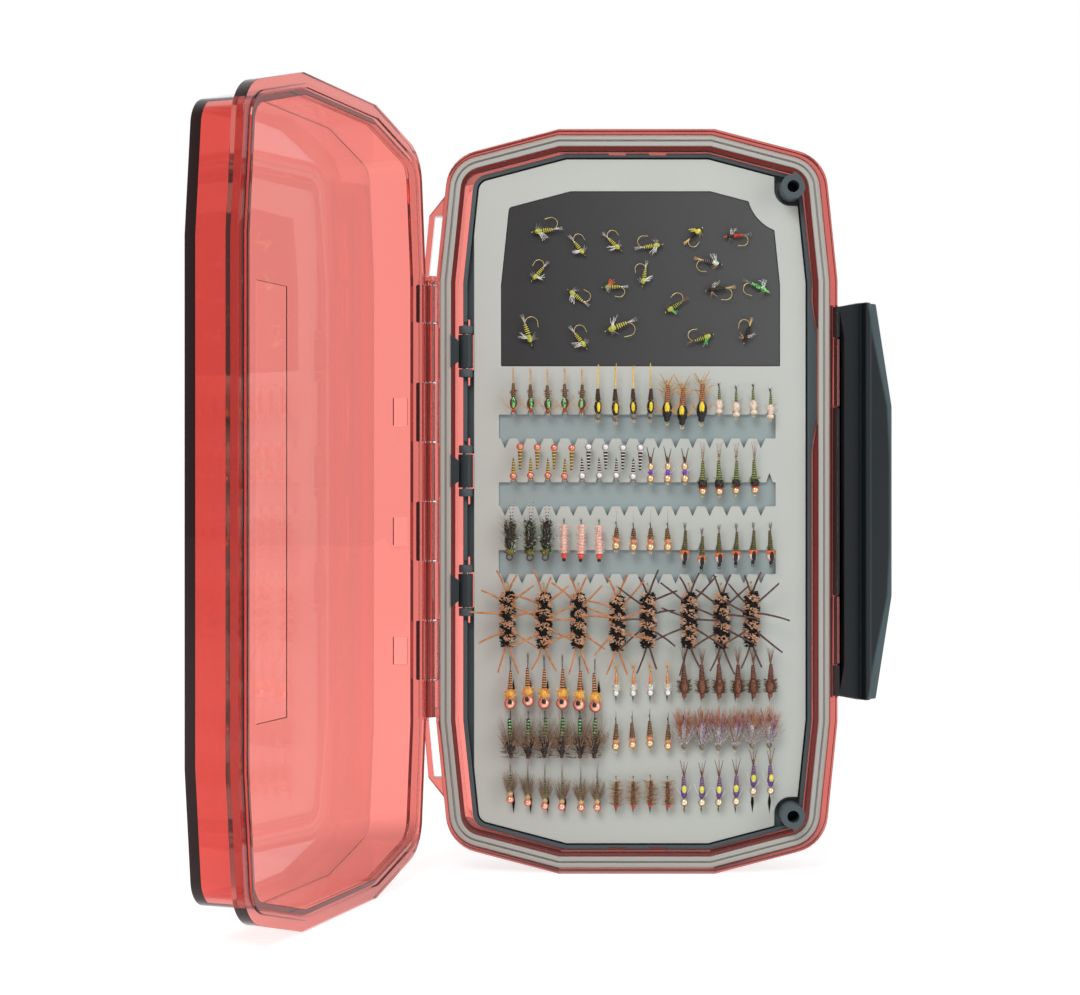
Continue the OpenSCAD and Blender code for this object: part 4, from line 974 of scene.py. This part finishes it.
# Place, heading from head to bend in degrees, side of the bend, size and finishes of each
DRY_FLIES = [
    (-23.8, 69.4, 7, 1, 1.2, OLIVE_DRY),
    (-14.7, 65, 129, -1, 1.0, OLIVE_DRY),
    (-5.7, 66, 137, -1, 1.0, OLIVE_DRY),
    (4, 65.5, 189, -1, 1.1, OLIVE_DRY),
    (-25.2, 58.4, 49, 1, 1.0, OLIVE_DRY),
    (-15.5, 52.7, -38, 1, 1.05, OLIVE_DRY),
    (-6.2, 55, 2, -1, 1.0, (DARK_OLIVE, LEMON, SILVER_HAIR, ORANGE, OLIVE)),
    (2, 57.6, 80, 1, 1.0, OLIVE_DRY),
    (-27.8, 43, 108, -1, 1.25, OLIVE_DRY),
    (-14.4, 41.3, 128, -1, 1.1, OLIVE_DRY),
    (-4.9, 44.8, 22, -1, 1.3, OLIVE_DRY),
    (15.1, 68.6, 221, 1, 0.95, (BLACK, BLACK, GOLD_HAIR, LEMON, LEMON)),
    (25.2, 68.1, 6, -1, 1.05, (RED, RED, GREY_HAIR, SILVER_HAIR, BLACK)),
    (19.2, 61.4, 167, 1, 1.1, (BLACK, GREY_HAIR, TAN, PEARL, PEARL)),
    (20.7, 54.4, 8, -1, 1.15, BLACK_DRY),
    (31.5, 54.9, 153, 1, 1.15, (GREEN_FLASH, GREEN_FLASH, GREY_HAIR, PEARL, GREEN_FLASH)),
    (9.7, 49.9, 33, 1, 1.05, GREEN_DRY),
    (17.1, 41.9, 199, -1, 1.1, GREEN_DRY),
    (28.4, 43, 72, 1, 1.05, BLACK_DRY),
]
DRY_SIZE = 1.15       # all of them are this much larger than drawn below
DRY_BEND = 1.15       # radius of the bend of their hooks
SHEET_Y = 0.8         # the face of the magnetic sheet
chance = random.Random("dry flies")
bodies = []
wires = Strands(chance, 6)
for x, up, heading, side, size, (body, rib, tail_kind, wing, thorax) in DRY_FLIES:
    size *= DRY_SIZE
    along = Vector((math.cos(math.radians(heading)), 0, math.sin(math.radians(heading))))
    across = Vector((-along.z, 0, along.x)) * side
    head = Vector((x, 0.0, up)) - along * 2.1 * size
    rings = (ball(0.0, 0.6, 0.28, body, 4) + ball(0.4, 2.0, 0.52, thorax, 5)
             + ribbed(1.9, 3.8, 0.46, 0.24, 5, body, rib))
    bug = turned([(size * far, size * wide, finish) for far, wide, finish in rings], 8)
    turn = Matrix((tuple(across), (0, 1, 0), tuple(along))).transposed().to_4x4()
    lift = SHEET_Y - 0.75 * size
    bug.data.transform(Matrix.Translation((head.x * MM, lift * MM, (head.z + MIDDLE) * MM)) @ turn)
    if turn.determinant() < 0:
        bug.data.flip_normals()
    bodies.append(bug)

    def at(far, aside, rise=0.0):
        """A point of this fly: along it from its head, towards its bend, and off the sheet."""
        flat = head + along * far * size + across * aside * size
        return (flat.x, lift - rise * size, flat.z)

    bend = [at(3.7 + DRY_BEND * math.sin(a), DRY_BEND - DRY_BEND * math.cos(a))
            for a in (math.pi * k / 8 for k in range(9))]
    wires.draw(GOLD_WIRE, [at(-0.2, 0), at(1.8, 0)] + bend + [at(2.6, 2.1)], 0.12, 0.09)
    for k in range(5):
        wires.draw(tail_kind, [at(3.5, 0, 0.1), at(4.6, -0.1 + 0.07 * k, 0.2),
                               at(5.6 + 0.2 * chance.random(), -0.3 + 0.16 * k, 0.1)], 0.07, 0.03)
    for k in range(9):
        lean = chance.uniform(0.3, 2.2)
        wires.draw(wing, [at(0.9 + 0.1 * k, -0.1, 0.2),
                          at(1.1 + 0.45 * lean, -0.8 * chance.random() - 0.4, 0.3),
                          at(1.2 + 0.8 * lean, -1.7 * chance.uniform(0.6, 1.1), 0.1)], 0.07, 0.04)
    for k in range(5):
        wires.draw(tail_kind, [at(0.9, 0.1, 0.2),
                               at(0.7 + 0.3 * k, 1.3 * chance.uniform(0.6, 1.2), 0.3)], 0.05, 0.025)
settle(joined(bodies + [wires.mesh()]), "sheet_flies")


# ---------------------------------------------------------------- camera, floor and light

camera = link("camera", bpy.data.cameras.new("camera"))
camera.location = (-0.0247, -0.517, 0.096)
camera.rotation_euler = (math.radians(90), 0, 0)
camera.data.lens, camera.data.sensor_width = 67.2, 36.0
camera.data.clip_start = 0.01
bpy.context.scene.camera = camera

# The studio is dim behind the camera and bright behind the box. Mirrored, or seen through the
# plastic, it goes from dim to bright over these shares of a heading's way into the picture
MIRRORED, THROUGH = (-0.35, 0.35), (-0.3, 0.42)

bpy.ops.object.select_all(action="DESELECT")
bpy.ops.mesh.primitive_plane_add(size=6, location=(0, 0.5, 0))
floor = bpy.context.object
bpy.ops.object.transform_apply(location=True)
floor.name = "floor"
table = Paint("white_table")
# A place on the floor counts by its heading from below the lid, with a painted shadow near the box
from_lid = table.node("ShaderNodeMapping", None,
                      {"Vector": table.place(), "Location": (0.05, 0.1, 0)})
inward = table.part(
    table.node("ShaderNodeVectorMath", {"operation": "NORMALIZE"}, {0: from_lid}), 1)
away = table.node("ShaderNodeVectorMath", {"operation": "LENGTH"}, {0: table.place()}, out=1)
# Painted shadow, only where the floor is seen through the plastic: darker near the box
under = table.stretch(away, 0.03, 0.12, 0.2, 1.0)
level = table.by_ray(plain=0.4, mirrored=table.stretch(inward, *MIRRORED, 0.08, 0.85),
                     through=table.stretch(inward, *THROUGH, 0.08, 1.04) * under, seen=0.78)
glow = table.node("ShaderNodeEmission", None, {"Color": (1, 1, 1, 1), "Strength": level})
matt = table.node("ShaderNodeBsdfDiffuse", None, {0: (0.45, 0.44, 0.44, 1)})
table.feed(table.output.inputs["Surface"],
           table.node("ShaderNodeAddShader", None, {0: glow, 1: matt}))
floor.data.materials.append(table.material)

world = bpy.data.worlds.new("studio")
bpy.context.scene.world = world
world.use_nodes = True
sky = Nodes(world.node_tree)
sky.tree.nodes.clear()
inward = sky.part(sky.node("ShaderNodeTexCoord", out="Generated"), 1)
level = sky.by_ray(plain=0.5, mirrored=sky.stretch(inward, *MIRRORED, 0.16, 1.0),
                   through=sky.stretch(inward, *THROUGH, 0.2, 1.2), seen=1.0)
background = sky.node("ShaderNodeBackground", None, {0: (1, 1, 1, 1), 1: level})
sky.feed(sky.tree.nodes.new("ShaderNodeOutputWorld").inputs[0], background)


def lamp(name, place, width, height, watts):
    """A soft rectangular lamp that faces the middle of the box."""
    data = bpy.data.lights.new(name, "AREA")
    data.shape, data.size, data.size_y, data.energy = "RECTANGLE", width, height, watts
    new = link(name, data)
    new.location = place
    inwards = Vector((0, 0, MIDDLE * MM)) - Vector(place)
    new.rotation_euler = inwards.to_track_quat("-Z", "Y").to_euler()


lamp("key", (-0.25, -0.75, 0.75), 0.5, 0.4, 5.0)
lamp("fill", (0.8, -0.55, 0.35), 0.4, 0.7, 2.5)

bpy.context.scene.view_settings.view_transform = "Standard"
